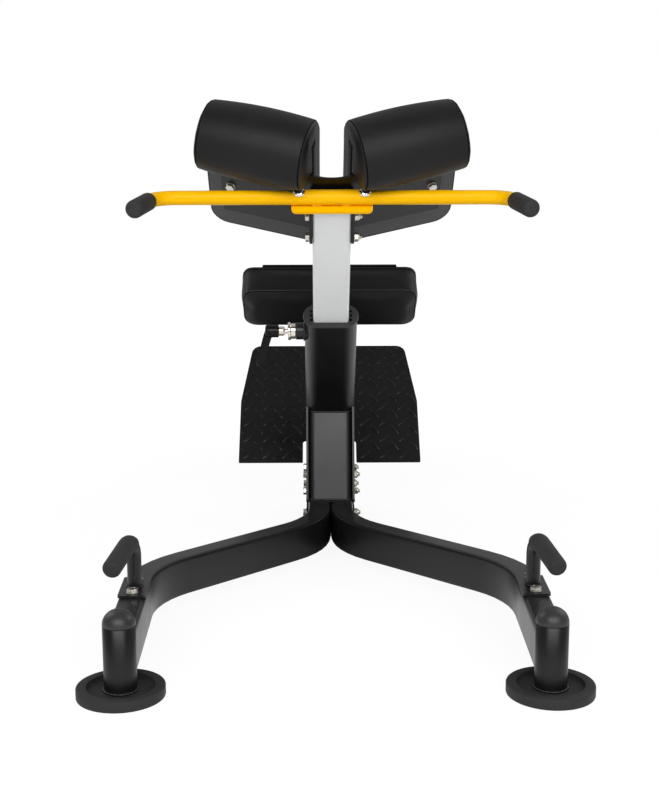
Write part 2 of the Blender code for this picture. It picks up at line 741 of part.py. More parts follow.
def make_cheeks(bench):
    """Gusset plates on both sides of the brace, bolted to the junction box."""
    lean = 1 / math.tan(BRACE_LEAN)
    low = LEG_TOP + SEAT + BRACE_FOOT_T + SEAT
    start = LEG_TOP + SEAT + BRACE_FOOT_T / 2
    thick = BRACE_D / math.sin(BRACE_LEAN)
    front_low = BRACE_FRONT_Y + CHEEK_SETBACK + (low - start) * lean
    # the plates end on the sleeve's rounded side, where it comes in to their inner faces
    flat = SLEEVE_HALF_W - SLEEVE_HALF_D
    side = math.sqrt(SLEEVE_HALF_D ** 2 - (CHEEK_IN - flat) ** 2)
    weld = (side + SEAT) / math.cos(MAST_LEAN)
    # mast side: y + z = -weld; brace front: y = front_low + (z - low) * lean
    top_z = (-weld - front_low + low * lean) / (1 + lean)
    top = (-weld - top_z, top_z)
    foot_back = BRACE_FRONT_Y + thick + BRACE_FOOT_BACK + SEAT
    points = [
        (front_low, low), (foot_back, low), (foot_back, CHEEK_LOW), (CHEEK_BACK_Y, CHEEK_LOW),
        (CHEEK_BACK_Y, -weld - CHEEK_BACK_Y), top,
    ]
    outline = rounded(points, [0, 0, 0, CHEEK_CORNER, 0, 0], 4)
    for name, sign in (("left", -1), ("right", 1)):
        bm = prism(outline, CHEEK_IN * sign, CHEEK_OUT * sign, along_x)
        cheek = finish(bm, f"cheek_{name}", "frame_black", bench)
        for row, z in enumerate(CHEEK_BOLT_Z):
            for column, y in enumerate(CHEEK_BOLT_Y):
                combine(cheek, cross_hole(f"cheek_hole_{name}_{row}_{column}", y, z, CHEEK_OUT * 2, bench))


def make_sleeve(mast):
    """Flat-oval tube with the pull pin's boss welded to its left side."""
    outline = flat_oval(SLEEVE_HALF_W, SLEEVE_HALF_D)
    floor = (LEG_TOP + SEAT) / math.cos(MAST_LEAN)
    bm = bmesh.new()
    # the lower end is level in the world: z + y is the same all round it
    low = [Vector((x, y, floor - y * math.tan(MAST_LEAN))) for x, y in outline]
    high = [Vector((x, y, MOUTH_T)) for x, y in outline]
    loft(bm, [low, high])
    sleeve = finish(bm, "sleeve", "frame_black", mast)
    place = shifted(along_x, (0, 0, PIN_T))
    boss = [(-BOSS_END, BOSS_R - 0.001), (-BOSS_END + 0.001, BOSS_R),
            (-SLEEVE_HALF_W + SLEEVE_HALF_D / 2, BOSS_R)]
    combine(sleeve, finish(turned(boss, place), "boss", None, mast), "UNION")
    bm = sleeve_prism(SLEEVE_HALF_W - SLEEVE_WALL, SLEEVE_HALF_D - SLEEVE_WALL, 0, MOUTH_T + SLEEVE_WALL)
    combine(sleeve, finish(bm, "sleeve_bore", None, mast))
    bore = [(-BOSS_END - SLEEVE_WALL, PIN_R + RUN), (0, PIN_R + RUN)]
    combine(sleeve, finish(turned(bore, place, 16), "boss_bore", None, mast))


def liner_opening():
    """Section of the tube's way through the liner, with three pockets at each side."""
    half_w = TUBE_HALF_W + RUN
    half_d = TUBE_HALF_D + RUN
    right = []
    for index in (-1, 0, 1):
        y = index * LINER_POCKET_PITCH
        low = max(y - LINER_POCKET_H / 2, -half_d + SEAT)
        high = min(y + LINER_POCKET_H / 2, half_d - SEAT)
        right += [(half_w, low), (half_w + LINER_POCKET, low), (half_w + LINER_POCKET, high), (half_w, high)]
    left = [(-x, -y) for x, y in right]
    return [(half_w, -half_d)] + right + [(half_w, half_d), (-half_w, half_d)] + left + [(-half_w, -half_d)]


def make_liner(mast):
    """Plastic guide in the sleeve's mouth, with a lip over its rim."""
    lip = flat_oval(SLEEVE_HALF_W + LINER_LIP, SLEEVE_HALF_D + LINER_LIP)
    neck = flat_oval(SLEEVE_HALF_W - SLEEVE_WALL - SEAT, SLEEVE_HALF_D - SLEEVE_WALL - SEAT)
    seat = MOUTH_T + SEAT
    edge = 0.0012
    small = flat_oval(SLEEVE_HALF_W + LINER_LIP - edge, SLEEVE_HALF_D + LINER_LIP - edge)
    stations = [
        (neck, MOUTH_T - LINER_DEPTH), (neck, seat), (lip, seat),
        (lip, seat + LINER_LIP_T - edge), (small, seat + LINER_LIP_T),
    ]
    bm = bmesh.new()
    loft(bm, [[Vector((x, y, z)) for x, y in ring] for ring, z in stations])
    liner = finish(bm, "liner", "liner", mast)
    bm = prism(liner_opening(), MOUTH_T - LINER_DEPTH * 2, MOUTH_T + LINER_DEPTH, along_z)
    combine(liner, finish(bm, "liner_opening", None, mast))
    place = shifted(along_x, (0, 0, PIN_T))
    bore = [(-SLEEVE_HALF_W, PIN_R + RUN), (-TUBE_HALF_W / 2, PIN_R + RUN)]
    combine(liner, finish(turned(bore, place, 16), "liner_bore", None, mast))


def make_tread(mast):
    """Foot plate notched round the sleeve, with a rail under it back to the sleeve."""
    notch = SLEEVE_HALF_D + SEAT
    low = -TREAD_LOW
    points = [
        (-TREAD_HALF_W, low), (-TREAD_NOTCH_HALF_W, low), (-TREAD_NOTCH_HALF_W, notch),
        (TREAD_NOTCH_HALF_W, notch), (TREAD_NOTCH_HALF_W, low), (TREAD_HALF_W, low),
        (TREAD_HALF_W, TREAD_TAPER), (TREAD_TOP_HALF_W, TREAD_BACK), (-TREAD_TOP_HALF_W, TREAD_BACK),
        (-TREAD_HALF_W, TREAD_TAPER),
    ]
    low_r, notch_r, side_r = TREAD_LOW_CORNER, TREAD_NOTCH_CORNER, TREAD_SIDE_R
    radii = [low_r, low_r, notch_r, notch_r, low_r, low_r, side_r, TREAD_CORNER, TREAD_CORNER, side_r]
    bm = prism(rounded(points, radii, 5), TREAD_T - TREAD_THICK, TREAD_T, along_z)
    finish(bm, "tread_plate", "tread_black", mast)
    top = TREAD_T - TREAD_THICK - SEAT
    back = TREAD_BACK - TREAD_RAIL_INSET
    profile = rounded([(notch, top - TREAD_RAIL_D), (back, top - TREAD_RAIL_D), (back, top), (notch, top)],
                      [0, TREAD_RAIL_CORNER, 0, 0], 5)
    bm = prism(profile, -TREAD_RAIL_HALF_W, TREAD_RAIL_HALF_W, along_x)
    rail = finish(bm, "tread_rail", "frame_black", mast)
    # a channel, open to the tread plate's underside
    low = top - TREAD_RAIL_D + TREAD_RAIL_WALL
    near, far = notch + TREAD_RAIL_WALL, back - TREAD_RAIL_WALL
    inside = [(near, low), (back - TREAD_RAIL_D, low), (far, (low + top) / 2),
              (far, top + TREAD_RAIL_WALL), (near, top + TREAD_RAIL_WALL)]
    half = TREAD_RAIL_HALF_W - TREAD_RAIL_WALL
    combine(rail, finish(prism(inside, -half, half, along_x), "rail_channel", None, mast))


def make_calf(mast):
    """Calf pad facing the mast, held from behind by an arm that passes between the legs."""
    face = CALF_GAP
    back = face + CALF_THICK
    middle_t = CALF_T + CALF_LEN / 2

    def space(p):
        return Vector((0, p.x, p.y))

    edge = CALF_EDGE
    rings = []
    for depth, shrink in ((face, edge), (face + 0.0035, 0.0035), (face + edge, 0.0),
                          (back - edge, 0.004), (back - 0.0035, 0.0075), (back, 0.016)):
        ring = rect(CALF_HALF_W - shrink, CALF_LEN / 2 - shrink, CALF_CORNER - shrink * 0.8, 6)
        rings.append([Vector((x, depth, middle_t + z)) for x, z in ring])
    bm = bmesh.new()
    loft(bm, rings)
    finish(bm, "calf_pad", "vinyl", mast)
    plate = back + SEAT
    low = CALF_T + CALF_PLATE_INSET
    high = CALF_T + CALF_LEN - CALF_PLATE_DROP
    outline = rounded([(-CALF_PLATE_HALF_W, low), (CALF_PLATE_HALF_W, low),
                       (CALF_PLATE_HALF_W, high), (-CALF_PLATE_HALF_W, high)], CALF_PLATE_CORNER, 3)
    bm = prism(outline, plate, plate + CALF_PLATE_T, along_y)
    back_plate = finish(bm, "calf_plate", "frame_black", mast)
    inner = plate + CALF_PLATE_T + SEAT
    outer = inner + CALF_ARM_W
    root = SLEEVE_HALF_D + SEAT
    arm_high = CALF_T - CALF_ARM_DROP
    arm_low = arm_high - CALF_ARM_W
    top = CALF_T + CALF_LEN - CALF_ARM_TOP_INSET
    half = CALF_ARM_W / 2
    middle = (inner + outer) / 2
    level = (arm_high + arm_low) / 2
    route = planar_path([(root, level), (middle, level), (middle, top)], [CALF_ARM_BEND_R], 5)
    bm = sweep(route, rect(half, half, CALF_ARM_CORNER, 2), space, Vector((1, 0, 0)))
    arm = finish(bm, "calf_arm", "frame_black", mast)
    hollow = half - CALF_ARM_WALL
    route = planar_path([(root - CALF_ARM_WALL, level), (middle, level), (middle, top - CALF_ARM_WALL)],
                        [CALF_ARM_BEND_R], 5)
    bm = sweep(route, rect(hollow, hollow, CALF_ARM_CORNER - CALF_ARM_WALL, 1), space, Vector((1, 0, 0)))
    combine(arm, finish(bm, "arm_bore", None, mast))
    for index, sign in enumerate((-1, 1)):
        t = (high + low) / 2 + sign * CALF_BOLT_SPAN / 2 + CALF_BOLT_RISE
        place = shifted(along_y, (0, 0, t))
        hole = [(plate - SEAT, BOLT_R + HOLE), (outer + CALF_ARM_CORNER, BOLT_R + HOLE)]
        cutter = finish(turned(hole, place, 12), f"calf_hole_{index}", None, mast)
        combine(arm, cutter)
        combine(back_plate, cutter)
        bm = bolt_mesh(outer + SEAT, plate + CALF_PLATE_T / 4, place)
        finish(bm, f"calf_bolt_{index + 1}", "zinc", mast)


def make_pull_pin(mast):
    """Collar on the boss, the sprung pin in it, and the lever that turns on the pin."""
    place = shifted(along_x, (0, 0, PIN_T))
    start = -BOSS_END - SEAT
    step = start - COLLAR_L
    collar = [
        (-COLLAR_END, COLLAR_FLANGE_R - 0.001), (-COLLAR_END + 0.001, COLLAR_FLANGE_R),
        (step - 0.001, COLLAR_FLANGE_R), (step, COLLAR_FLANGE_R - 0.001), (step, COLLAR_R), (start, COLLAR_R),
    ]
    obj = finish(turned(collar, place, 18), "pin_collar", "chrome", mast)
    bore = [(-COLLAR_END - COLLAR_L, PIN_R + RUN), (0, PIN_R + RUN)]
    combine(obj, finish(turned(bore, place, 16), "collar_bore", None, mast))
    axis = empty("pin_axis", mast, (0, 0, PIN_T))
    nut_in = -COLLAR_END - PIN_PROUD
    nut_out = nut_in - PIN_NUT_L
    stub = nut_out - HUB_L + 0.004
    pin = [
        (stub, PIN_SHAFT_R), (nut_out, PIN_SHAFT_R), (nut_out, PIN_NUT_R - 0.0012),
        (nut_out + 0.0012, PIN_NUT_R), (nut_in - 0.0012, PIN_NUT_R), (nut_in, PIN_NUT_R - 0.0012),
        (nut_in, PIN_SHAFT_R), (-COLLAR_END + COLLAR_L / 2, PIN_SHAFT_R),
        (-COLLAR_END + COLLAR_L / 2, PIN_R), (-PIN_TIP_X - 0.0015, PIN_R), (-PIN_TIP_X, PIN_R - 0.0015),
    ]
    finish(turned(pin, along_x, 16), "pull_pin", "chrome", axis)
    turn = empty("lever_axis", axis)
    hub_in = nut_out - SEAT
    hub_out = hub_in - HUB_L
    hub = [
        (hub_out, HUB_R - 0.003), (hub_out + 0.001, HUB_R - 0.001), (hub_out + 0.003, HUB_R),
        (hub_in - 0.002, HUB_R), (hub_in, HUB_R - 0.002),
    ]
    lever = finish(turned(hub, along_x), "lever", "lever_black", turn)
    # the arm hangs straight down in the world from the middle of the hub
    down = Vector((0, -math.sin(MAST_LEAN), -math.cos(MAST_LEAN)))
    across = Vector((0, down.z, -down.y))
    mid = hub_in - HUB_L * LEVER_ROOT_SHARE
    bm = bmesh.new()
    rings = []
    for share, splay in ((0.0, 0.0), (0.2, 0.12), (0.4, 0.38), (0.7, 0.80), (1.0, 1.0)):
        radius = LEVER_ROOT_R + (LEVER_TIP_R - LEVER_ROOT_R) * share
        centre = Vector((mid - LEVER_SPLAY * splay, 0, 0)) + down * (LEVER_LEN * share)
        rings.append([centre + Vector((radius * 0.8 * a, 0, 0)) + across * (radius * b)
                      for a, b in circle(1.0, 12)])
    tip = centre + down * LEVER_TIP_R * 0.6 - Vector((LEVER_TIP_R * 0.2, 0, 0))
    rings.append([tip + Vector((LEVER_TIP_R * 0.45 * a, 0, 0)) + across * (LEVER_TIP_R * 0.6 * b)
                  for a, b in circle(1.0, 12)])
    loft(bm, rings)
    combine(lever, finish(bm, "lever_arm", None, turn), "UNION")
    bore = [(stub - SEAT, PIN_SHAFT_R + SEAT), (0, PIN_SHAFT_R + SEAT)]
    combine(lever, finish(turned(bore, along_x, 16), "lever_bore", None, turn))


def make_tube(carriage):
    """Inner tube with a row of pin holes in its left wall and two cross holes at its top."""
    low = TUBE_TOP_T - TUBE_LEN
    bm = prism(rect(TUBE_HALF_W, TUBE_HALF_D, TUBE_CORNER, 3), low, TUBE_TOP_T, along_z)
    tube = finish(bm, "inner_tube", "silver", carriage)
    holes = bmesh.new()
    for index in range(-HOLES_BELOW, HOLES_ABOVE + 1):
        place = shifted(along_x, (0, 0, PIN_T + index * HOLE_PITCH))
        hole = [(-TUBE_HALF_W - TUBE_WALL, PIN_R + RUN), (-TUBE_HALF_W / 2, PIN_R + RUN)]
        turned(hole, place, 11, bm=holes)
    for drop in HEAD_BOLT_DROP:
        place = shifted(along_x, (0, HEAD_BOLT_BACK, TUBE_TOP_T - drop))
        turned([(-2 * TUBE_HALF_W, BOLT_R + HOLE), (2 * TUBE_HALF_W, BOLT_R + HOLE)], place, 12, bm=holes)
    combine(tube, finish(holes, "tube_holes", None, carriage))
    inside = rect(TUBE_HALF_W - TUBE_WALL, TUBE_HALF_D - TUBE_WALL, TUBE_CORNER - TUBE_WALL, 2)
    bm = prism(inside, low - TUBE_WALL, TUBE_TOP_T + TUBE_WALL, along_z)
    combine(tube, finish(bm, "tube_bore", None, carriage))


def make_head(carriage):
    """Channel bolted round the tube's top, open to the front."""
    wall = HEAD_WALL
    inner = TUBE_HALF_W + SEAT
    outer = inner + wall
    back = HEAD_BACK
    outline = [
        (-outer, -HEAD_FRONT), (-inner, -HEAD_FRONT), (-inner, back - wall), (inner, back - wall),
        (inner, -HEAD_FRONT), (outer, -HEAD_FRONT), (outer, back), (-outer, back),
    ]
    low = TUBE_TOP_T - HEAD_LEN
    bm = prism(outline, low, TUBE_TOP_T, along_z)
    head = finish(bm, "head_bracket", "frame_black", carriage)
    wedge = [(-HEAD_FRONT - 0.001, low - 0.001), (-HEAD_FRONT + HEAD_CHAMFER, low - 0.001),
             (-HEAD_FRONT - 0.001, low + HEAD_CHAMFER)]
    combine(head, finish(prism(wedge, -2 * outer, 2 * outer, along_x), "head_chamfer", None, carriage))
    for index, drop in enumerate(HEAD_BOLT_DROP):
        t = TUBE_TOP_T - drop
        combine(head, cross_hole(f"head_hole_{index}", HEAD_BOLT_BACK, t, 2 * outer, carriage))
        bm = through_bolt_mesh(outer, shifted(along_x, (0, HEAD_BOLT_BACK, t)))
        finish(bm, f"head_bolt_{index + 1}", "zinc", carriage)


def bar_route():
    """Half of the bar in its own plane: out along x, then round to the grip."""
    reach = BAR_BEND_R * math.tan(BAR_BEND / 2)
    corner = Vector((BAR_HALF_STRAIGHT + reach, 0))
    heading = Vector((math.cos(BAR_BEND), math.sin(BAR_BEND)))
    end = corner + heading * (reach + GRIP_LEN - GRIP_WALL_END - SEAT)
    return planar_path([(0, 0), tuple(corner), tuple(end)], [BAR_BEND_R], 8)


def make_bar(carriage):
    """Bent pull bar on its plate, two domed bolts through both, and a grip at each end."""
    ahead = Vector((0, -math.cos(BAR_RAKE), math.sin(BAR_RAKE)))
    origin = Vector((0, -BAR_FWD, BAR_T))
    up = Vector((1, 0, 0)).cross(ahead)

    def to_space(p):
        return origin + Vector((p.x, 0, 0)) + ahead * p.y

    half = bar_route()
    left = [(Vector((-p.x, p.y)), Vector((t.x, -t.y))) for p, t in half[:0:-1]]
    bm = sweep(left + half[1:], circle(BAR_R, 18), to_space, up)
    bar = finish(bm, "pull_bar", "yellow", carriage)
    outline = rect(BAR_PLATE_HALF_W, BAR_PLATE_HALF_D, BAR_PLATE_CORNER, 5)
    bm = prism(outline, BAR_PLATE_LOW_T, BAR_PLATE_LOW_T + BAR_PLATE_T, along_z)
    plate = finish(bm, "bar_plate", "yellow", carriage)
    for side, sign in (("left", -1), ("right", 1)):

        def mirrored(p, sign=sign):
            return to_space(Vector((p.x * sign, p.y)))

        bm = grip_mesh(half[-2:-1], mirrored, up, BAR_R)
        finish(bm, f"bar_grip_{side}", "grip", carriage)
        place = shifted(along_z, (BAR_BOLT_X * sign, -BAR_FWD, 0))
        hole = [(BAR_PLATE_LOW_T - BAR_R, BOLT_R + HOLE), (BAR_T + 2 * BAR_R, BOLT_R + HOLE)]
        cutter = finish(turned(hole, place, 12), f"bar_hole_{side}", None, carriage)
        combine(bar, cutter)
        combine(plate, cutter)
        finish(dome_bolt_mesh(place), f"bar_bolt_{side}", "chrome", carriage)


def dome_bolt_mesh(place):
    """Domed head on the bar's top, shank through bar and plate, nut under the plate."""
    seat = BAR_T + BAR_R + SEAT
    nut = BAR_PLATE_LOW_T - SEAT
    hex_r = BOLT_AF / 2
    profile = [(nut - 0.008, hex_r), (nut, hex_r), (nut, BOLT_R), (seat, BOLT_R),
               (seat, BAR_BOLT_HEAD_R), (seat + 0.001, BAR_BOLT_HEAD_R)]
    for k in range(1, 4):
        angle = math.pi / 2 * k / 4
        profile.append((seat + 0.001 + BAR_BOLT_HEAD_H * math.sin(angle),
                        (BAR_BOLT_HEAD_R - 0.001) * math.cos(angle)))
    return turned(profile, place, 12, hexes=(0, 1))


def wing_point(sign):
    """Placing of (w, p, t) on one side: w outwards, p forwards, t along the mast."""
    cos, sin = math.cos(WING_ANGLE), math.sin(WING_ANGLE)

    def place(w, p, t):
        x = PAD_INNER_X + w * cos + p * sin
        y = PAD_BACK + w * sin - p * cos
        return Vector((x * sign, y, t))

    return place


def make_wing_plate(carriage):
    """One plate bent into two wings behind the tube's top, dipped between the pads."""
    right = wing_point(1)
    left = wing_point(-1)
    section = [
        left(PLATE_W, PLATE_FRONT_P, 0), left(0, PLATE_FRONT_P, 0), right(0, PLATE_FRONT_P, 0),
        right(PLATE_W, PLATE_FRONT_P, 0), right(PLATE_W, PLATE_BACK_P, 0), right(0, PLATE_BACK_P, 0),
        left(0, PLATE_BACK_P, 0), left(PLATE_W, PLATE_BACK_P, 0),
    ]
    bm = prism([(v.x, v.y) for v in section], PLATE_LOW_T, PLATE_TOP_T, along_z)
    plate = finish(bm, "wing_plate", "frame_black", carriage)
    # a wide round dip whose flanks rise to the plate's top edge
    half = PAD_INNER_X + PLATE_FRONT_P * math.sin(WING_ANGLE) + 0.004
    spread = math.asin(half / PLATE_DIP_R)
    centre = PLATE_DIP_T + PLATE_DIP_R
    dip = arc(0, centre, PLATE_DIP_R, -math.pi / 2 - spread, -math.pi / 2 + spread, 12)
    dip += [(half, PLATE_TOP_T + PLATE_T), (-half, PLATE_TOP_T + PLATE_T)]
    combine(plate, finish(prism(dip, -PAD_BACK, PAD_BACK, along_y), "plate_dip", None, carriage))
    return plate


def make_pads(carriage, plate):
    """Board, soft pad and bolts of each wing."""
    for side, sign in (("left", -1), ("right", 1)):
        place = wing_point(sign)
        low = LEAF_LOW_T
        board = rounded([(0, low), (BOARD_W, low), (BOARD_W, BOARD_TOP_T), (0, BOARD_TOP_T)],
                        [BOARD_INNER_CORNER, BOARD_CORNER, BOARD_TOP_CORNER, BOARD_TOP_CORNER], 6)
        bm = prism(board, LEAF_T + SEAT, PAD_DEPTH_FRONT, lambda u, v, w: place(u, w, v))
        board_obj = finish(bm, f"pad_board_{side}", "board", carriage)
        bm = prism(pad_profile(), 0, PAD_W, lambda u, v, w: place(w, u, v))
        pad = finish(bm, f"thigh_pad_{side}", "vinyl", carriage, 60)
        trim_leaf(pad, side, place, carriage)
        for index, w in enumerate(PAD_BOLT_W):
            tip = PAD_DEPTH_FRONT - PAD_BOLT_DEPTH

            def bolt_place(u, v, h, w=w):
                return place(w + u, h, PAD_BOLT_T + v)

            bm = bolt_mesh(PLATE_FRONT_P + SEAT, tip, bolt_place)
            finish(bm, f"pad_bolt_{side}_{index + 1}", "zinc", carriage)
            hole = [(tip - SEAT, BOLT_R + HOLE), (PLATE_FRONT_P + PLATE_T, BOLT_R + HOLE)]
            cutter = finish(turned(hole, bolt_place, 12), f"pad_hole_{side}_{index}", None, carriage)
            combine(plate, cutter)
            combine(board_obj, cutter)


def pad_profile():
    """Side view (p, t) of a pad: a leaf that rolls over the board's top and down in front."""
    slot_front = PLATE_FRONT_P + LOBE_GAP
    slot_top = BOARD_TOP_T + SEAT
    heel_t = LOBE_LOW_T + LOBE_HEEL_RISE + LOBE_HEEL_R
    nose_p = 2 * ROLL_R - LOBE_NOSE_R - LOBE_NOSE_INSET
    outline = arc(LEAF_EDGE_R, LEAF_LOW_T + LEAF_EDGE_R, LEAF_EDGE_R, math.pi, 1.5 * math.pi, 4)
    outline += [(LEAF_T, LEAF_LOW_T), (LEAF_T, slot_top), (slot_front, slot_top)]
    outline += arc(slot_front + LOBE_HEEL_R, heel_t, LOBE_HEEL_R, math.pi, 1.45 * math.pi, 4)
    outline += arc(nose_p, LOBE_LOW_T + LOBE_NOSE_R, LOBE_NOSE_R, -math.pi / 2, -math.pi / 10, 7)
    outline += arc(ROLL_R, ROLL_T, ROLL_R, 0, math.pi, 20)
    return outline


def trim_leaf(pad, side, place, carriage):
    """Round the leaf's outer lower corner like the board's, and its inner one."""
    low = LEAF_LOW_T
    for name, w, radius, way in (("outer", PAD_W, BOARD_CORNER, 1), ("inner", 0, BOARD_INNER_CORNER, -1)):
        inside = w - radius * way
        start = -math.pi / 2 if way > 0 else math.pi
        curve = arc(inside, low + radius, radius, start, start + math.pi / 2, 6)
        beyond = w + radius * way
        level = low + radius
        if way > 0:
            shape = curve + [(beyond, level), (beyond, low - radius), (inside, low - radius)]
        else:
            shape = curve + [(inside, low - radius), (beyond, low - radius), (beyond, level)]
        bm = prism(shape, -LEAF_T, LEAF_T + SEAT, lambda u, v, h: place(u, h, v))
        combine(pad, finish(bm, f"leaf_corner_{name}_{side}", None, carriage))


def main():
    clear_scene()
    bench = empty("bench", None, (0, SHIFT_Y, 0))
    mast = empty("mast", bench, (0, 0, 0), MAST_LEAN)
    carriage = empty("carriage", mast)
    for side, sign in (("left", -1), ("right", 1)):
        make_feet(bench, side, sign)
        make_step_handle(bench, side, sign)
    make_base(bench)
    make_brace(bench, mast)
    make_cheeks(bench)
    make_sleeve(mast)
    make_liner(mast)
    make_tread(mast)
    make_calf(mast)
    make_pull_pin(mast)
    make_tube(carriage)
    make_head(carriage)
    make_bar(carriage)
    plate = make_wing_plate(carriage)
    make_pads(carriage, plate)


main()
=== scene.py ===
import json
import math
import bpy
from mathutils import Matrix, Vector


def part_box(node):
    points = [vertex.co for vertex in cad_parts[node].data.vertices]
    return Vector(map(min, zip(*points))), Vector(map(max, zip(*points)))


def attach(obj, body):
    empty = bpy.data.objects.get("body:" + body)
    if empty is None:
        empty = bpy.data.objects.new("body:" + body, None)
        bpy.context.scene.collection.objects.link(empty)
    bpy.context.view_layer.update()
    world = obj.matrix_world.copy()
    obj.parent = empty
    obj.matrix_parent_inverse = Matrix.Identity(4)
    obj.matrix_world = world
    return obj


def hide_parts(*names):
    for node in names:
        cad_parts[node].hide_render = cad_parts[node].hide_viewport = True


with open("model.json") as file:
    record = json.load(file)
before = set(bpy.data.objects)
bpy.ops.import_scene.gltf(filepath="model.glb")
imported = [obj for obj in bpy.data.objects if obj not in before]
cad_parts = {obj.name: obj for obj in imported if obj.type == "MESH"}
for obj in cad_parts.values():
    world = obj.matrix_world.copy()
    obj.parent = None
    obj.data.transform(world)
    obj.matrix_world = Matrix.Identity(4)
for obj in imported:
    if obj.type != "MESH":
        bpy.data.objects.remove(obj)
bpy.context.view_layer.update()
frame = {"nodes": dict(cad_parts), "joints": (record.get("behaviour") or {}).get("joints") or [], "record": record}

from types import SimpleNamespace

import bmesh
import bpy
from mathutils import Matrix, Vector

bl_info = {
    "name": "Hyperextension Bench Finish",
    "version": (1, 0, 0),
    "blender": (4, 5, 0),
    "location": "View3D > Sidebar > Bench",
    "description": "Cushions, tread pattern, fasteners, welds and finishes for the bench",
    "category": "Object",
}

SLOTS = {part["node"]: part["material_slot"] for part in frame["record"]["subparts"]}
SIDES = (("left", -1), ("right", 1))

# The mast leans back at 45 degrees from the point where its axis meets the floor.
LEVER_PIVOT = next(j for j in frame["joints"] if j["name"] == "lever_turn")["pos_m"]
MAST_FOOT = LEVER_PIVOT[1] + LEVER_PIVOT[2]
MAST = Matrix.Translation((0, MAST_FOOT, 0)) @ Matrix.Rotation(math.radians(45), 4, "X")
SLEEVE_HALF_WIDTH, SLEEVE_HALF_DEPTH = 0.060, 0.0308

# A thigh pad's wing: its turn outwards, and where its inner end is in the mast's frame.
WING_ANGLE = math.radians(16.7)
WING_INNER_X, WING_BACK = 0.0187, 0.1054
# The slot in a thigh pad's back that its board fills: from, to, and how far up the mast.
BOARD_SLOT = (0.045, 0.075, 1.320)

# The brace's weld: half widths and corner radius, its middle on the floor plan, and up the mast.
BRACE_OUTLINE = (0.0542, 0.03125, 0.018)
BRACE_Y, BRACE_HEAD = 0.27795, 0.46225
CALF_ARM_HEIGHT = 0.4905
FIRST_RIB = (-0.1875, 0.0145)
# A ripple's own axes, as a ring's matrix takes them.
RIPPLE_TURN = Matrix(((0, 0, 1, 0), (1, 0, 0, 0), (0, 1, 0, 0), (0, 0, 0, 1)))
# Along the lever's arm: how far out, and the width and depth there as a share of the arm's own.
ARM_STATIONS = ((0.02, 0.92, 1.0), (0.16, 1.0, 1.0), (0.3, 1.0, 1.0), (0.5, 1.0, 0.96), (0.7, 1.0, 0.92),
                (0.84, 1.0, 0.88), (0.90, 0.98, 0.86), (0.945, 0.90, 0.8), (0.975, 0.74, 0.68),
                (0.993, 0.5, 0.5), (1.0, 0.24, 0.3))

BENT_TUBES = (("leg_left", "base"), ("leg_right", "base"), ("brace", "base"), ("sleeve", "base"),
              ("step_handle_left", "base"), ("step_handle_right", "base"), ("pull_bar", "carriage"),
              ("inner_tube", "carriage"))
SHELL_CREASE = 32

# The camera that the photograph was solved to: focal length in pixels, and its turns in degrees.
PHOTO_WIDTH, PHOTO_FOCUS = 659, 1255.11
CAMERA_TURNS = (("Z", -0.53), ("X", 90 - 9.97), ("Z", -0.13))
WHITE = (1, 1, 1, 1)


def wing_matrix(sign):
    """Frame of a thigh pad: x outwards, y forwards from its back face, z up the mast."""
    cos, sin = math.cos(WING_ANGLE), math.sin(WING_ANGLE)
    wing = Matrix(((cos * sign, sin * sign, 0, WING_INNER_X * sign),
                   (sin, -cos, 0, WING_BACK),
                   (0, 0, 1, 0),
                   (0, 0, 0, 1)))
    return MAST @ wing


def distance(name, description, default, low, high):
    return bpy.props.FloatProperty(name=name, description=description, default=default, min=low, max=high,
                                   subtype="DISTANCE", unit="LENGTH")


def angle(name, description, degrees, low, high):
    return bpy.props.FloatProperty(name=name, description=description, default=math.radians(degrees),
                                   min=low, max=high, subtype="ANGLE", unit="ROTATION")


def amount(name, description, default, high, low=0):
    return bpy.props.FloatProperty(name=name, description=description, default=default, min=low, max=high)


def power(name, description, default):
    return bpy.props.FloatProperty(name=name, description=description, default=default, min=0, unit="POWER")


def tint(name, description, default):
    return bpy.props.FloatVectorProperty(name=name, description=description, default=default, min=0, max=1,
                                         subtype="COLOR")


class BenchColours(bpy.types.PropertyGroup):
    frame_paint: tint("Frame Paint", "Powder coat of the legs, brace and mast", (0.0045, 0.0047, 0.0054))
    bar_paint: tint("Bar Paint", "Gloss paint of the pull bar and its plate", (1.0, 0.52, 0.0))
    tube_plating: tint("Tube Paint", "Silver finish of the sliding tube", (0.86, 0.87, 0.87))
    cushion_vinyl: tint("Cushion Vinyl", "Cover of the thigh and calf pads", (0.0045, 0.0045, 0.0052))
    grip_foam: tint("Grip Foam", "Sleeves on the bar and push-up handles", (0.0200, 0.0195, 0.0198))


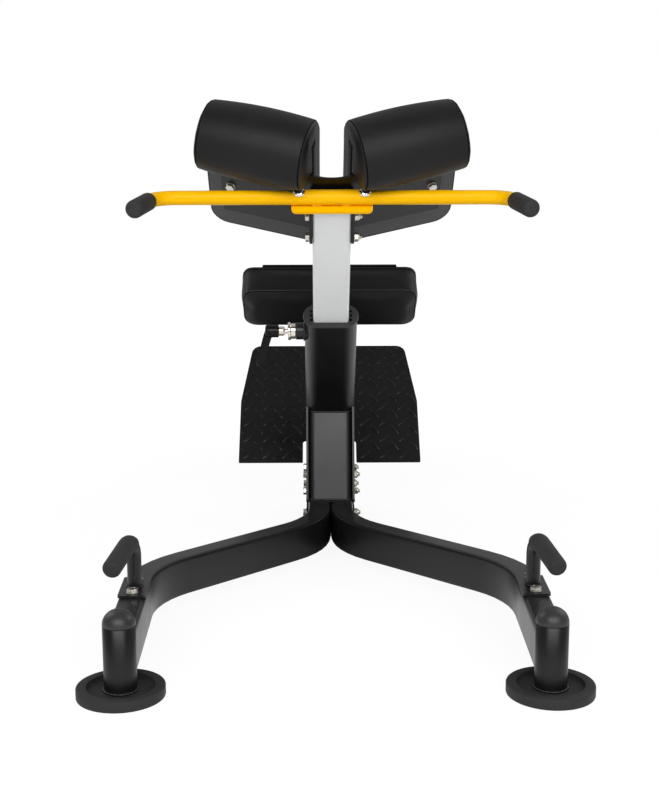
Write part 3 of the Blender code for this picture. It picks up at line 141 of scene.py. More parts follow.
class CushionSizes(bpy.types.PropertyGroup):
    voxel: distance("Voxel", "Cell of the remesh that the cushion inflates from", 0.006, 0.002, 0.02)
    shrink: distance("Shrink", "How far the cover starts inside the cushion's final size", 0.002, 0, 0.02)
    cap: distance("Swell Limit", "Most that a point may move while the cushion fills", 0.007, 0, 0.03)
    sink: distance("Sink Limit", "Most that a point may sink or slide while the cushion fills",
                 0.0008, 0, 0.01)
    pressure: amount("Pressure", "Pressure inside the cover", 4.0, 20)
    edge_round: distance("Edge Rounding", "Radius at a cushion's ends", 0.006, 0, 0.03)
    seam_inset: distance("Seam Inset", "From a cushion's end to its seam", 0.0075, 0, 0.05)
    seam_depth: distance("Seam Depth", "How deep a seam is pulled in", 0.0020, 0, 0.005)
    seam_width: distance("Seam Width", "Half the width of a seam's valley", 0.0018, 0.0005, 0.005)
    seam_rise: distance("Seam Rise", "How far the cover stands up beside a seam", 0.0005, 0, 0.003)
    band_seam: distance("Band Seam", "From the calf pad's face to the seam round its sides", 0.0052, 0, 0.03)
    calf_drop: distance("Calf Pad Drop", "How far the calf pad's cover hangs below its filling",
                      0.005, 0, 0.01)
    calf_top_corner: distance("Calf Pad Top Corners", "Radius of the calf pad's upper corners",
                            0.030, 0.005, 0.06)
    calf_low_corner: distance("Calf Pad Low Corners", "Radius of the calf pad's lower corners",
                            0.038, 0.005, 0.06)
    piping: distance("Piping", "Radius of the cord sewn in along the calf pad's seam", 0.0017, 0.0005, 0.005)
    cover_fold: distance("Cover Fold", "How far the boards' cover is folded over their faces",
                       0.0032, 0.001, 0.02)
    crown: distance("Crown", "How much fuller a cushion is halfway along", 0.0055, 0, 0.02)
    stitch_pitch: distance("Stitch Pitch", "From one stitch to the next", 0.0042, 0.001, 0.02)
    stitch_length: distance("Stitch Length", "Length of one stitch", 0.0034, 0.001, 0.02)
    stitch_side: distance("Stitch Offset", "From a seam to the stitches beside it", 0.0030, 0, 0.01)
    thread: distance("Thread", "Thickness of the thread", 0.0008, 0.0002, 0.003)


class TreadSizes(bpy.types.PropertyGroup):
    pitch: distance("Pitch", "Distance between ribs that lie the same way", 0.0513, 0.02, 0.1)
    rib_length: distance("Rib Length", "Length of one raised rib", 0.037, 0.01, 0.06)
    rib_width: distance("Rib Width", "Width of one raised rib", 0.0085, 0.002, 0.02)
    rib_height: distance("Rib Height", "How far a rib stands up from the plate", 0.0016, 0.0005, 0.004)
    margin: distance("Margin", "How far inside the plate's outline the ribs stop", 0.0025, 0.0005, 0.01)
    low: distance("Front Edge", "From the mast's axis down the plate to its front edge", -0.0366, -0.2, 0.2)
    back: distance("Back Edge", "From the mast's axis to the plate's back edge", 0.3454, 0.1, 0.6)
    taper: distance("Taper Start", "From the mast's axis to where the sides start to lean in", 0.158, 0, 0.4)
    half_width: distance("Half Width", "Half the plate's width in front of the taper", 0.238, 0.1, 0.4)
    top_half_width: distance("Top Half Width", "Half the plate's width at its back edge", 0.2095, 0.1, 0.4)
    corner: distance("Corner", "Radius of the back corners", 0.026, 0.002, 0.1)
    notch_half_width: distance("Notch Half Width", "Half the width kept clear round the mast",
                             0.0725, 0.02, 0.2)
    notch_depth: distance("Notch Depth", "How far back the clear strip reaches", 0.040, 0, 0.2)


class FastenerSizes(bpy.types.PropertyGroup):
    across_flats: distance("Across Flats", "Width of a hexagonal head or nut", 0.017, 0.005, 0.03)
    head_height: distance("Head Height", "Height of a hexagonal head", 0.0064, 0.002, 0.02)
    nut_height: distance("Nut Height", "Height of a lock nut", 0.0095, 0.002, 0.02)
    washer_radius: distance("Washer Radius", "Outside radius of a washer", 0.010, 0.005, 0.02)
    washer_thickness: distance("Washer Thickness", "Thickness of a washer", 0.0018, 0.0005, 0.005)
    shank_radius: distance("Shank Radius", "Radius of a bolt's shank", 0.005, 0.002, 0.01)
    step_bolt_scale: amount("Handle Bolt Scale", "How much wider the push-up handles' bolts and washers are",
                            1.16, 1.5, 1.0)


class GripSizes(bpy.types.PropertyGroup):
    radius: distance("Radius", "Outside radius of a foam grip", 0.0178, 0.01, 0.03)
    bore: distance("Bore", "Radius of the hole that the tube fills", 0.0146, 0.005, 0.03)
    length: distance("Length", "Straight length of a grip", 0.098, 0.05, 0.2)
    end_round: distance("End Rounding", "Rounding at a grip's outer end", 0.0095, 0.001, 0.017)
    bend_height: distance("Bend Height", "Height of a push-up handle where its bend starts", 0.180, 0.1, 0.3)
    bend_radius: distance("Bend Radius", "Radius of a push-up handle's bend", 0.030, 0.01, 0.1)
    bend: angle("Bend", "How far a push-up handle turns from upright", 101, 0.5, 2.5)
    splay: angle("Splay", "How far a push-up handle points outwards", 9.8, 0, 1)


class FootSizes(bpy.types.PropertyGroup):
    rim: distance("Rim", "Width of the raised rim of a rubber foot", 0.019, 0.005, 0.04)
    floor: distance("Well Floor", "Height of the well inside the rim", 0.011, 0.002, 0.018)
    edge: distance("Edge", "Rounding along a rubber foot's edges", 0.0032, 0.0005, 0.006)
    skirt: distance("Cap Skirt", "Straight part below a cap's dome", 0.002, 0, 0.01)


class WeldSizes(bpy.types.PropertyGroup):
    pitch: distance("Pitch", "From one ripple of a weld to the next", 0.0026, 0.001, 0.01)
    width: distance("Width", "Width of a weld", 0.0058, 0.001, 0.015)
    length: distance("Ripple", "Length of one ripple", 0.0050, 0.001, 0.015)


class LeverSizes(bpy.types.PropertyGroup):
    hub_length: distance("Hub Length", "Length of the lever's hub along the pin", 0.031, 0.01, 0.06)
    hub_radius: distance("Hub Radius", "Radius of the lever's hub", 0.0146, 0.005, 0.03)
    reach: distance("Reach", "From the pin's axis to the lever's tip", 0.0795, 0.03, 0.15)
    splay: distance("Splay", "How far the tip stands outwards of the root", 0.0235, 0, 0.05)
    root_width: distance("Root Width", "Width of the arm at the hub", 0.0205, 0.005, 0.04)
    tip_width: distance("Tip Width", "Width of the arm near its tip", 0.0160, 0.005, 0.04)
    thickness: distance("Thickness", "Thickness of the arm from front to back", 0.0125, 0.004, 0.03)


class StageSettings(bpy.types.PropertyGroup):
    floor_size: distance("Floor Size", "Side of the square floor", 30.0, 4, 100)
    back_glow: amount("Back Glow", "Brightness of the surroundings behind the bench", 0.38, 3)
    side_glow: amount("Side Glow", "Brightness of the surroundings beside and before it", 0.06, 3)
    sky_glow: amount("Sky Glow", "Brightness added overhead", 0.05, 3)
    floor_page: amount("Floor Whiteness", "How much of the near floor shows as plain white", 0.86, 1)
    floor_mirror: amount("Floor Reflection", "How white the far floor shows in paint and metal", 0.8, 1)
    top_power: power("Top Light", "Power of the overhead light", 8)
    front_power: power("Front Light", "Power of the light above the camera", 235)
    side_power: power("Side Lights", "Power of each side light", 2.5)
    rim_power: power("Rim Lights", "Power of each light behind the shoulders", 22)


def sizes_of(group):
    """The values of a property group, read once."""
    return SimpleNamespace(**{key: getattr(group, key) for key in group.__annotations__})


def feed(tree, node, inputs):
    """Give each input of a node a value, or link it to another node's output."""
    for key, value in inputs.items():
        if isinstance(value, bpy.types.NodeSocket):
            tree.links.new(value, node.inputs[key])
        else:
            node.inputs[key].default_value = value


def add(tree, kind, inputs=None, **settings):
    node = tree.nodes.new("ShaderNode" + kind)
    for key, value in settings.items():
        setattr(node, key, value)
    feed(tree, node, inputs or {})
    return node


def coat_grain(tree, given, place):
    """Fine orange peel of a powder coat or a moulded surface."""
    fine = add(tree, "TexNoise",
               {"Vector": place, "Scale": given["Scale"], "Detail": 2.0, "Roughness": 0.55})
    return {"Height": fine.outputs["Fac"]}


def hide_grain(tree, given, place):
    """Pebbled cells of embossed vinyl, with the soft wrinkles that run between them."""
    cells = add(tree, "TexVoronoi", {"Vector": place, "Scale": given["Scale"]}, feature="DISTANCE_TO_EDGE")
    clip = add(tree, "MapRange", {"Value": cells.outputs["Distance"], "From Max": 0.25})
    wave = add(tree, "TexNoise", {"Vector": place, "Scale": 22.0, "Detail": 4.0})
    blend = add(tree, "Math", {0: wave.outputs["Fac"], 1: given["Wrinkle"], 2: clip.outputs["Result"]},
                operation="MULTIPLY_ADD")
    return {"Height": blend.outputs["Value"]}


def mottle(tree, given, place):
    """Slow change between a deep and a pale tone of one colour, and a roughness that follows it."""
    cloud = add(tree, "TexNoise",
                {"Vector": place, "Scale": given["Scale"], "Detail": 6.0, "Roughness": 0.62})
    spread = add(tree, "MapRange", {"Value": cloud.outputs["Fac"], "From Min": 0.32, "From Max": 0.68})
    share = spread.outputs["Result"]
    tone = add(tree, "Mix", {"Factor": share, "A": given["Deep"], "B": given["Pale"]}, data_type="RGBA")
    rough = add(tree, "MapRange", {"Value": share, "To Min": given["Least Rough"],
                                   "To Max": given["Most Rough"]})
    return {"Color": tone.outputs["Result"], "Roughness": rough.outputs["Result"]}


GROUPS = {
    "Coat Grain": ({"Scale": 600.0}, coat_grain),
    "Vinyl Grain": ({"Scale": 700.0, "Wrinkle": 0.4}, hide_grain),
    "Mottle": ({"Deep": (0, 0, 0, 1), "Pale": (1, 1, 1, 1), "Scale": 8.0, "Least Rough": 0.4,
                "Most Rough": 0.5}, mottle),
}


def socket_kind(label):
    return "NodeSocketColor" if label in ("Deep", "Pale", "Color") else "NodeSocketFloat"


def shader_group(name):
    """The shader node group of a name, built at its first use."""
    if name in bpy.data.node_groups:
        return bpy.data.node_groups[name]
    inputs, fill = GROUPS[name]
    group = bpy.data.node_groups.new(name, "ShaderNodeTree")
    for label, default in inputs.items():
        socket = group.interface.new_socket(label, in_out="INPUT", socket_type=socket_kind(label))
        socket.default_value = default
    given = group.nodes.new("NodeGroupInput").outputs
    made = fill(group, given, add(group, "TexCoord").outputs["Object"])
    for label in made:
        group.interface.new_socket(label, in_out="OUTPUT", socket_type=socket_kind(label))
    feed(group, group.nodes.new("NodeGroupOutput"), made)
    return group


# A look's colour is a base colour, or the name of one of the scene's colours.
LOOKS = {
    "frame powder coat": dict(colour="frame_paint", contrast=0.18, rough=(0.31, 0.39),
                              grain=(900.0, 0.00002), specular=0.42),
    "tread powder coat": dict(colour="frame_paint", share=0.9, contrast=0.2, rough=(0.34, 0.44),
                              grain=(700.0, 0.00003), specular=0.3),
    "worn rib paint": dict(colour="frame_paint", share=0.9, contrast=0.3, rough=(0.26, 0.40),
                           mottle_scale=40.0, grain=(700.0, 0.00002), specular=0.35),
    "painted weld": dict(colour="frame_paint", contrast=0.3, rough=(0.22, 0.36), mottle_scale=120.0,
                         grain=(500.0, 0.00006)),
    "bar gloss paint": dict(colour="bar_paint", contrast=0.02, rough=(0.24, 0.30), grain=(350.0, 0.00001),
                            specular=0.08, coat=0.03, coat_rough=0.06),
    "painted bar weld": dict(colour="bar_paint", contrast=0.06, rough=(0.22, 0.3), mottle_scale=120.0,
                             grain=(500.0, 0.00004), specular=0.3),
    "silver tube": dict(colour="tube_plating", contrast=0.03, rough=(0.30, 0.38), grain=(900.0, 0.00001),
                        metallic=0.08),
    "cushion vinyl": dict(colour="cushion_vinyl", contrast=0.12, rough=(0.46, 0.56), mottle_scale=14.0,
                          relief="Vinyl Grain", grain=(650.0, 0.00006), specular=0.28),
    # the cord's vinyl is a lighter, glossier copy of the cushion vinyl: painted highlight along the seam
    "piping vinyl": dict(colour=(0.010, 0.010, 0.0108), contrast=0.12, rough=(0.32, 0.4),
                         mottle_scale=60.0, relief="Vinyl Grain", grain=(900.0, 0.00002)),
    # near-black matt vinyl for the seams' valleys: painted shade in the seam's fold
    "seam fold": dict(colour=(0.0015, 0.0015, 0.0016), contrast=0.2, rough=(0.7, 0.8), mottle_scale=60.0,
                      relief="Vinyl Grain", grain=(900.0, 0.00003), specular=0.1),
    "board backing": dict(colour=(0.055, 0.055, 0.057), contrast=0.12, rough=(0.5, 0.6),
                          mottle_scale=12.0, relief="Vinyl Grain", grain=(900.0, 0.00003)),
    "stitch thread": dict(colour=(0.012, 0.012, 0.013), contrast=0.2, rough=(0.5, 0.6),
                          mottle_scale=300.0, grain=(3000.0, 0.00005)),
    "grip foam": dict(colour="grip_foam", contrast=0.25, rough=(0.72, 0.85), mottle_scale=60.0,
                      grain=(420.0, 0.0002)),
    "foot rubber": dict(colour=(0.015, 0.015, 0.015), contrast=0.3, rough=(0.62, 0.8), mottle_scale=25.0,
                        grain=(300.0, 0.00012)),
    "moulded plastic": dict(colour=(0.022, 0.022, 0.023), contrast=0.15, rough=(0.42, 0.5),
                            grain=(800.0, 0.00003)),
    "lever plastic": dict(colour=(0.003, 0.0026, 0.0022), contrast=0.15, rough=(0.26, 0.34),
                          grain=(500.0, 0.00002), specular=0.2),
    "lever panel": dict(colour=(0.009, 0.0075, 0.0052), contrast=0.2, rough=(0.5, 0.62),
                        mottle_scale=60.0, grain=(900.0, 0.00006), specular=0.1),
    "plated steel": dict(colour=(0.84, 0.78, 0.71), contrast=0.06, rough=(0.20, 0.28), mottle_scale=60.0,
                         grain=(1200.0, 0.00001), metallic=1.0),
    "zinc plate": dict(colour=(0.66, 0.63, 0.56), contrast=0.12, rough=(0.25, 0.4), mottle_scale=90.0,
                       grain=(1200.0, 0.00002), metallic=1.0),
    "chrome plate": dict(colour=(0.78, 0.78, 0.79), contrast=0.03, rough=(0.07, 0.12), mottle_scale=40.0,
                         grain=(900.0, 0.000005), metallic=1.0),
}

SLOT_LOOKS = {
    "frame_black": "frame powder coat",
    "frame_grey": "frame powder coat",
    "tread_black": "tread powder coat",
    "silver": "silver tube",
    "yellow": "bar gloss paint",
    "vinyl": "cushion vinyl",
    "board": "board backing",
    "rubber": "foot rubber",
    "grip": "grip foam",
    "liner": "moulded plastic",
    "cap_plastic": "moulded plastic",
    "zinc": "zinc plate",
    "chrome": "plated steel",
    "lever_black": "lever plastic",
}


def surface(name, colour, contrast, rough, grain, relief="Coat Grain", share=1.0, mottle_scale=9.0,
            metallic=0.0, specular=0.5, coat=0.0, coat_rough=0.1):
    """A material with mottled colour and roughness and a grain in relief."""
    if isinstance(colour, str):
        colour = [c * share for c in getattr(bpy.context.scene.bench_colours, colour)]
    mat = bpy.data.materials.new(name)
    mat.use_nodes = True
    tree = mat.node_tree
    tone = add(tree, "Group", {
        "Deep": (*[c * (1 - contrast) for c in colour], 1),
        "Pale": (*[min(c * (1 + contrast), 1) for c in colour], 1),
        "Scale": mottle_scale, "Least Rough": rough[0], "Most Rough": rough[1],
    }, node_tree=shader_group("Mottle"))
    scale, depth = grain
    height = add(tree, "Group", {"Scale": scale}, node_tree=shader_group(relief)).outputs["Height"]
    bump = add(tree, "Bump", {"Height": height, "Distance": depth, "Strength": 1.0})
    feed(tree, tree.nodes["Principled BSDF"], {
        "Base Color": tone.outputs["Color"], "Roughness": tone.outputs["Roughness"],
        "Normal": bump.outputs["Normal"], "Metallic": metallic, "Specular IOR Level": specular,
        "Coat Weight": coat, "Coat Roughness": coat_rough})
    return mat


def look(name):
    """The material of a name, made at its first use."""
    return bpy.data.materials.get(name) or surface(name, **LOOKS[name])


def mesh_of(bm, name):
    """Put a bmesh away as a mesh."""
    mesh = bpy.data.meshes.new(name)
    bm.to_mesh(mesh)
    bm.free()
    return mesh


def placed(name, data):
    """A new object in the scene."""
    obj = bpy.data.objects.new(name, data)
    bpy.context.scene.collection.objects.link(obj)
    return obj


def finished(name, bm, body, slot, replaced=(), smooth=40, looks=()):
    """Turn a bmesh in world coordinates into a piece that rides on a body."""
    bmesh.ops.remove_doubles(bm, verts=bm.verts, dist=1e-6)
    bmesh.ops.recalc_face_normals(bm, faces=bm.faces)
    mesh = mesh_of(bm, name)
    mesh.shade_smooth()
    mesh.set_sharp_from_angle(angle=math.radians(smooth))
    for each in looks or [SLOT_LOOKS[slot]]:
        mesh.materials.append(look(each))
    piece = placed(name, mesh)
    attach(piece, body)
    if replaced:
        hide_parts(*replaced)
    return piece


def turned(bm, profile, place, steps=32):
    """Spin a profile of (height, radius) points about the z axis of a placing matrix."""
    chain = [bm.verts.new((radius, 0, height)) for height, radius in profile]
    edges = [bm.edges.new(pair) for pair in zip(chain, chain[1:])]
    made = bmesh.ops.spin(bm, geom=chain + edges, axis=(0, 0, 1), cent=(0, 0, 0), dvec=(0, 0, 0),
                          angle=2 * math.pi, steps=steps, use_merge=True, use_duplicate=False)
    verts = {v for e in made["geom_last"] for v in getattr(e, "verts", [e])}
    grown = set(chain)
    front = list(grown | verts)
    while front:
        v = front.pop()
        for e in v.link_edges:
            other = e.other_vert(v)
            if other not in grown:
                grown.add(other)
                front.append(other)
    grown = list(grown)
    bmesh.ops.remove_doubles(bm, verts=grown, dist=1e-6)
    grown = [v for v in grown if v.is_valid]
    bmesh.ops.transform(bm, matrix=place, verts=grown)
    return grown


def ring(centre, heading, side, wide, deep=None):
    """Matrix that puts a flat unit outline round a point, square to a heading."""
    heading = Vector(heading).normalized()
    side = Vector(side)
    side = (side - heading * side.dot(heading)).normalized()
    turn = Matrix((side, heading.cross(side), heading)).transposed().to_4x4()
    return Matrix.Translation(centre) @ turn @ Matrix.Diagonal((wide, deep or wide, 1, 1))


def swept(bm, outline, rings, closed=False):
    """Carry an outline in the xy plane through placing matrices, each ring extruded from the last."""
    verts = list({v for e in outline for v in e.verts})
    bmesh.ops.transform(bm, matrix=rings[0], verts=verts)
    edges, grown = outline, list(verts)
    for before, here in zip(rings, rings[1:]):
        made = bmesh.ops.extrude_edge_only(bm, edges=edges)["geom"]
        front = {g for g in made if isinstance(g, bmesh.types.BMVert)}
        edges = [g for g in made if isinstance(g, bmesh.types.BMEdge) and front.issuperset(g.verts)]
        bmesh.ops.transform(bm, matrix=here @ before.inverted(), verts=list(front))
        grown += front
    if closed:
        bmesh.ops.bridge_loops(bm, edges=outline + edges)
    else:
        bmesh.ops.holes_fill(bm, edges=edges, sides=0)
    return grown


def round_outline(bm, segments=32, capped=True):
    made = bmesh.ops.create_circle(bm, segments=segments, radius=1.0, cap_ends=capped)
    return list({e for v in made["verts"] for e in v.link_edges})


def square_outline(bm, corner=0.5, segments=4):
    """Unit square with its corners rounded, as the edges round one face."""
    made = bmesh.ops.create_grid(bm, x_segments=1, y_segments=1, size=1.0)
    made = bmesh.ops.bevel(bm, geom=made["verts"], offset=corner, offset_type="OFFSET", segments=segments,
                           profile=0.5, affect="VERTICES", material=-1)
    return [e for e in {e for v in made["verts"] for e in v.link_edges} if e.is_boundary]


def long_axis(points):
    """Middle of a straight piece and the direction that it runs in."""
    middle = sum(points, Vector()) / len(points)
    axis = max(points, key=lambda p: (p - middle).length) - middle
    for _ in range(24):
        axis = sum(((p - middle) * (p - middle).dot(axis) for p in points), Vector()).normalized()
    return middle, axis


def quarter(steps):
    """Angles from nought to a right angle."""
    return [math.pi / 2 * step / steps for step in range(steps + 1)]


def turned_piece(name, profile, place, steps, body, slot, replaced, smooth, looks=()):
    bm = bmesh.new()
    turned(bm, profile, place, steps)
    return finished(name, bm, body, slot, [replaced], smooth, looks)


def hex_body(bm, across, low, high, place):
    """Hexagonal head or nut with its corners rounded off at the top."""
    made = bmesh.ops.create_circle(bm, cap_ends=True, radius=across / math.sqrt(3), segments=6,
                                   matrix=Matrix.Translation((0, 0, low)))
    face = made["verts"][0].link_faces[0]
    top = bmesh.ops.extrude_face_region(bm, geom=[face])
    raised = [v for v in top["geom"] if isinstance(v, bmesh.types.BMVert)]
    bmesh.ops.translate(bm, vec=(0, 0, high - low), verts=raised)
    rim = [e for e in {e for v in raised for e in v.link_edges} if all(v in raised for v in e.verts)]
    bev = bmesh.ops.bevel(bm, geom=rim, offset=across * 0.055, offset_type="OFFSET", segments=2,
                          profile=0.5, affect="EDGES", material=-1)
    verts = {v for v in made["verts"] + raised + bev["verts"] if v.is_valid}
    bmesh.ops.transform(bm, matrix=place, verts=list(verts))


def axis_span(node, axis):
    """Centre line and reach of a CAD node along an axis: a placing matrix, low and high."""
    points = [v.co for v in frame["nodes"][node].data.vertices]
    axis = Vector(axis).normalized()
    along = [p.dot(axis) for p in points]
    turn = Vector((0, 0, 1)).rotation_difference(axis).to_matrix().to_4x4()
    local = [turn.inverted() @ p for p in points]
    centre = Vector([(min(p[k] for p in local) + max(p[k] for p in local)) / 2 for k in (0, 1)] + [0])
    return turn @ Matrix.Translation(centre), min(along), max(along)


def washer(bm, low, place, sizes):
    radius, high = sizes.washer_radius, low + sizes.washer_thickness
    edge = sizes.washer_thickness * 0.22
    turned(bm, [(low, 0.0), (low, radius - edge), (low + edge, radius), (high - edge, radius),
                (high, radius - edge), (high, 0.0)], place, 28)
    return high


def hex_bolt_end(bm, seat, place, sizes):
    """Washer and hexagonal head, with a shallow dish in its top, that stand up from a seat."""
    low = washer(bm, seat, place, sizes)
    high, across, dish = low + sizes.head_height, sizes.across_flats, 0.0002
    hex_body(bm, across, low, high, place)
    turned(bm, [(low, 0.0), (low, across * 0.47), (high + 0.0003, across * 0.43),
                (high + 0.0003, across * 0.30), (high - dish, across * 0.26), (high - dish, 0.0)], place, 28)


def nut_end(bm, seat, place, sizes):
    """Washer, lock nut with its nylon collar, and the thread's end."""
    low = washer(bm, seat, place, sizes)
    high, shank = low + sizes.nut_height, sizes.shank_radius
    collar, sunk = sizes.across_flats * 0.44, 0.001
    hex_body(bm, sizes.across_flats, low, low + sizes.nut_height * 0.72, place)
    turned(bm, [(low, 0.0), (low, collar), (high - sunk, collar), (high, collar - 0.0012),
                (high, shank * 1.05), (high - sunk, shank), (high - sunk, 0.0)], place, 28)
    tail = high + shank - 0.0006
    thread, pitch, level = [(low, 0.0), (low, shank)], 0.0015, high - sunk
    while level < tail - pitch:
        thread += [(level, shank), (level + pitch / 2, shank * 0.88)]
        level += pitch
    turned(bm, thread + [(tail, shank * 0.8), (tail, 0.0)], place, 20)


def cad_form(node, flat=None, place=None):
    """A CAD node's solid as a bmesh, with its flat faces made whole again."""
    bm = bmesh.new()
    bm.from_mesh(frame["nodes"][node].data)
    if place:
        bm.transform(place)
    bmesh.ops.remove_doubles(bm, verts=bm.verts, dist=1e-5)
    bmesh.ops.dissolve_limit(bm, angle_limit=math.radians(flat), verts=bm.verts, edges=bm.edges)
    return bm


def even_normals(mesh, limit):
    """Corner normals led by the broad faces, so that flat walls shade flat and bends shade smooth."""
    beside = {}
    for face in mesh.polygons:
        for index in face.vertices:
            beside.setdefault(index, []).append(face)
    normals = []
    for face in mesh.polygons:
        for index in face.vertices:
            near = [other for other in beside[index] if other.normal.dot(face.normal) > limit]
            normals.append(sum((other.normal * other.area for other in near), Vector()).normalized())
    mesh.normals_split_custom_set(normals)


def half_width(node, axis=0):
    low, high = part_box(node)
    return (high[axis] - low[axis]) / 2


def handle_foot(side):
    """The middle between a push-up handle's two bolts."""
    corners = [Vector(corner) for index in (1, 2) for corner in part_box(f"step_bolt_{side}_{index}")]
    return sum(corners, Vector()) / 4


def lay(bm, mesh, place):
    """Add a copy of a small mesh to a bmesh, placed by a matrix."""
    count = len(bm.verts)
    bm.from_mesh(mesh)
    bm.verts.ensure_lookup_table()
    bmesh.ops.transform(bm, matrix=place, verts=bm.verts[count:])


def spots_along(line, pitch):
    """Even spots along a line of points: each with the index of its stretch and its heading."""
    travelled, spot = 0.0, pitch / 2
    for index, (here, there) in enumerate(zip(line, line[1:])):
        length = (there - here).length
        while length > 1e-6 and spot <= travelled + length:
            along = (there - here) / length
            yield here + along * (spot - travelled), index, along
            spot += pitch
        travelled += length


class BENCH_OT_shells(bpy.types.Operator):
    """Bent and rounded tubes, shaded without facets"""
    bl_idname = "bench.shells"
    bl_label = "Bent Tubes"

    def execute(self, context):
        for node, body in BENT_TUBES:
            piece = finished(node + "_shell", cad_form(node, 0.5), body, SLOTS[node], [node], SHELL_CREASE)
            even_normals(piece.data, math.cos(math.radians(SHELL_CREASE)))
        return {"FINISHED"}


class BENCH_OT_boards(bpy.types.Operator):
    """Thigh boards with the black cover folded over their edges"""
    bl_idname = "bench.boards"
    bl_label = "Board Covers"

    def execute(self, context):
        fold = context.scene.bench_cushions.cover_fold
        for side, sign in SIDES:
            node = f"pad_board_{side}"
            bm = cad_form(node, 2)
            ahead = wing_matrix(sign).col[1].xyz
            broad = [f for f in bm.faces if abs(f.normal.dot(ahead)) > 0.99]
            bmesh.ops.inset_region(bm, faces=broad, thickness=fold, depth=0, use_boundary=True,
                                   use_even_offset=True)
            for face in set(bm.faces) - set(broad):
                face.material_index = 1
            finished(f"board_cover_{side}", bm, "carriage", "board", [node], 30,
                     ["board backing", "cushion vinyl"])
        return {"FINISHED"}


class BENCH_OT_fasteners(bpy.types.Operator):
    """Hexagonal bolts, washers, lock nuts and domed bolts"""
    bl_idname = "bench.fasteners"
    bl_label = "Fasteners"

    def execute(self, context):
        sizes = sizes_of(context.scene.bench_fasteners)
        self.cross_bolts(sizes)
        self.surface_bolts(sizes)
        self.domed_bolts(sizes)
        return {"FINISHED"}

    def cross_bolts(self, sizes):
        """Bolts through both cheeks or both walls of the bracket, each nut turned its own way."""
        flip = Matrix.Rotation(math.pi, 4, "Y")
        cheeks = [f"cheek_bolt_{row}_{column}" for row in (1, 2) for column in (1, 2)]
        for name in ["leg_bolt", *cheeks, "head_bolt_1", "head_bolt_2"]:
            place, low, high = axis_span(name, (1, 0, 0))
            twist = Matrix.Rotation(math.radians(17 + 23 * len(name) + 31 * sum(map(ord, name))), 4, "Z")
            bm = bmesh.new()
            hex_bolt_end(bm, -low - sizes.head_height - sizes.washer_thickness, place @ flip @ twist, sizes)
            nut_end(bm, high - sizes.shank_radius - sizes.nut_height - sizes.washer_thickness,
                    place @ twist, sizes)
            finished(f"{name}_detail", bm, "carriage" if name.startswith("head") else "base", "zinc",
                     [name], 30)

    def surface_bolts(self, sizes):
        """Bolts whose nuts are out of sight, under the handles, boards and calf pad."""
        jobs = []
        for side, sign in SIDES:
            for index in (1, 2):
                jobs.append((f"step_bolt_{side}_{index}", (0, 0, 1), "base"))
                jobs.append((f"pad_bolt_{side}_{index}", wing_matrix(sign).col[1].xyz, "carriage"))
        jobs += [(f"calf_bolt_{index}", MAST.col[1].xyz, "base") for index in (1, 2)]
        for name, axis, body in jobs:
            place, _, high = axis_span(name, axis)
            twist = Matrix.Rotation(math.radians(13 * sum(map(ord, name))), 4, "Z")
            wide = sizes.step_bolt_scale if name.startswith("step") else 1.0
            bm = bmesh.new()
            hex_bolt_end(bm, high - sizes.head_height - sizes.washer_thickness,
                         place @ twist @ Matrix.Diagonal((wide, wide, 1, 1)), sizes)
            finished(f"{name}_detail", bm, body, "zinc", [name], 30)

    def domed_bolts(self, sizes):
        """Button heads with a hexagon socket's round mouth, and the nuts under the bar's plate."""
        radius, height, skirt, socket, nut = 0.012, 0.0078, 0.0013, 0.0042, 0.008
        for side, _ in SIDES:
            name = f"bar_bolt_{side}"
            place, low, high = axis_span(name, MAST.col[2].xyz)
            seat = high - height
            dome = [(seat + skirt + (height - skirt) * math.sin(a), radius * math.cos(a))
                    for a in quarter(9)]
            profile = [(seat, 0.0), (seat, radius - 0.0006), (seat + 0.0004, radius), (seat + skirt, radius)]
            profile += [p for p in dome[1:-1] if p[1] > socket + 0.0008]
            top = high - 0.0006
            profile += [(top, socket + 0.0006), (top - 0.0006, socket), (top - 0.004, socket),
                        (top - 0.004, 0.0)]
            bm = bmesh.new()
            turned(bm, profile, place, 40)
            hex_body(bm, sizes.across_flats, 0.0, nut, place @ Matrix.Translation((0, 0, low)))
            finished(f"{name}_detail", bm, "carriage", "chrome", [name], 35, ["chrome plate"])


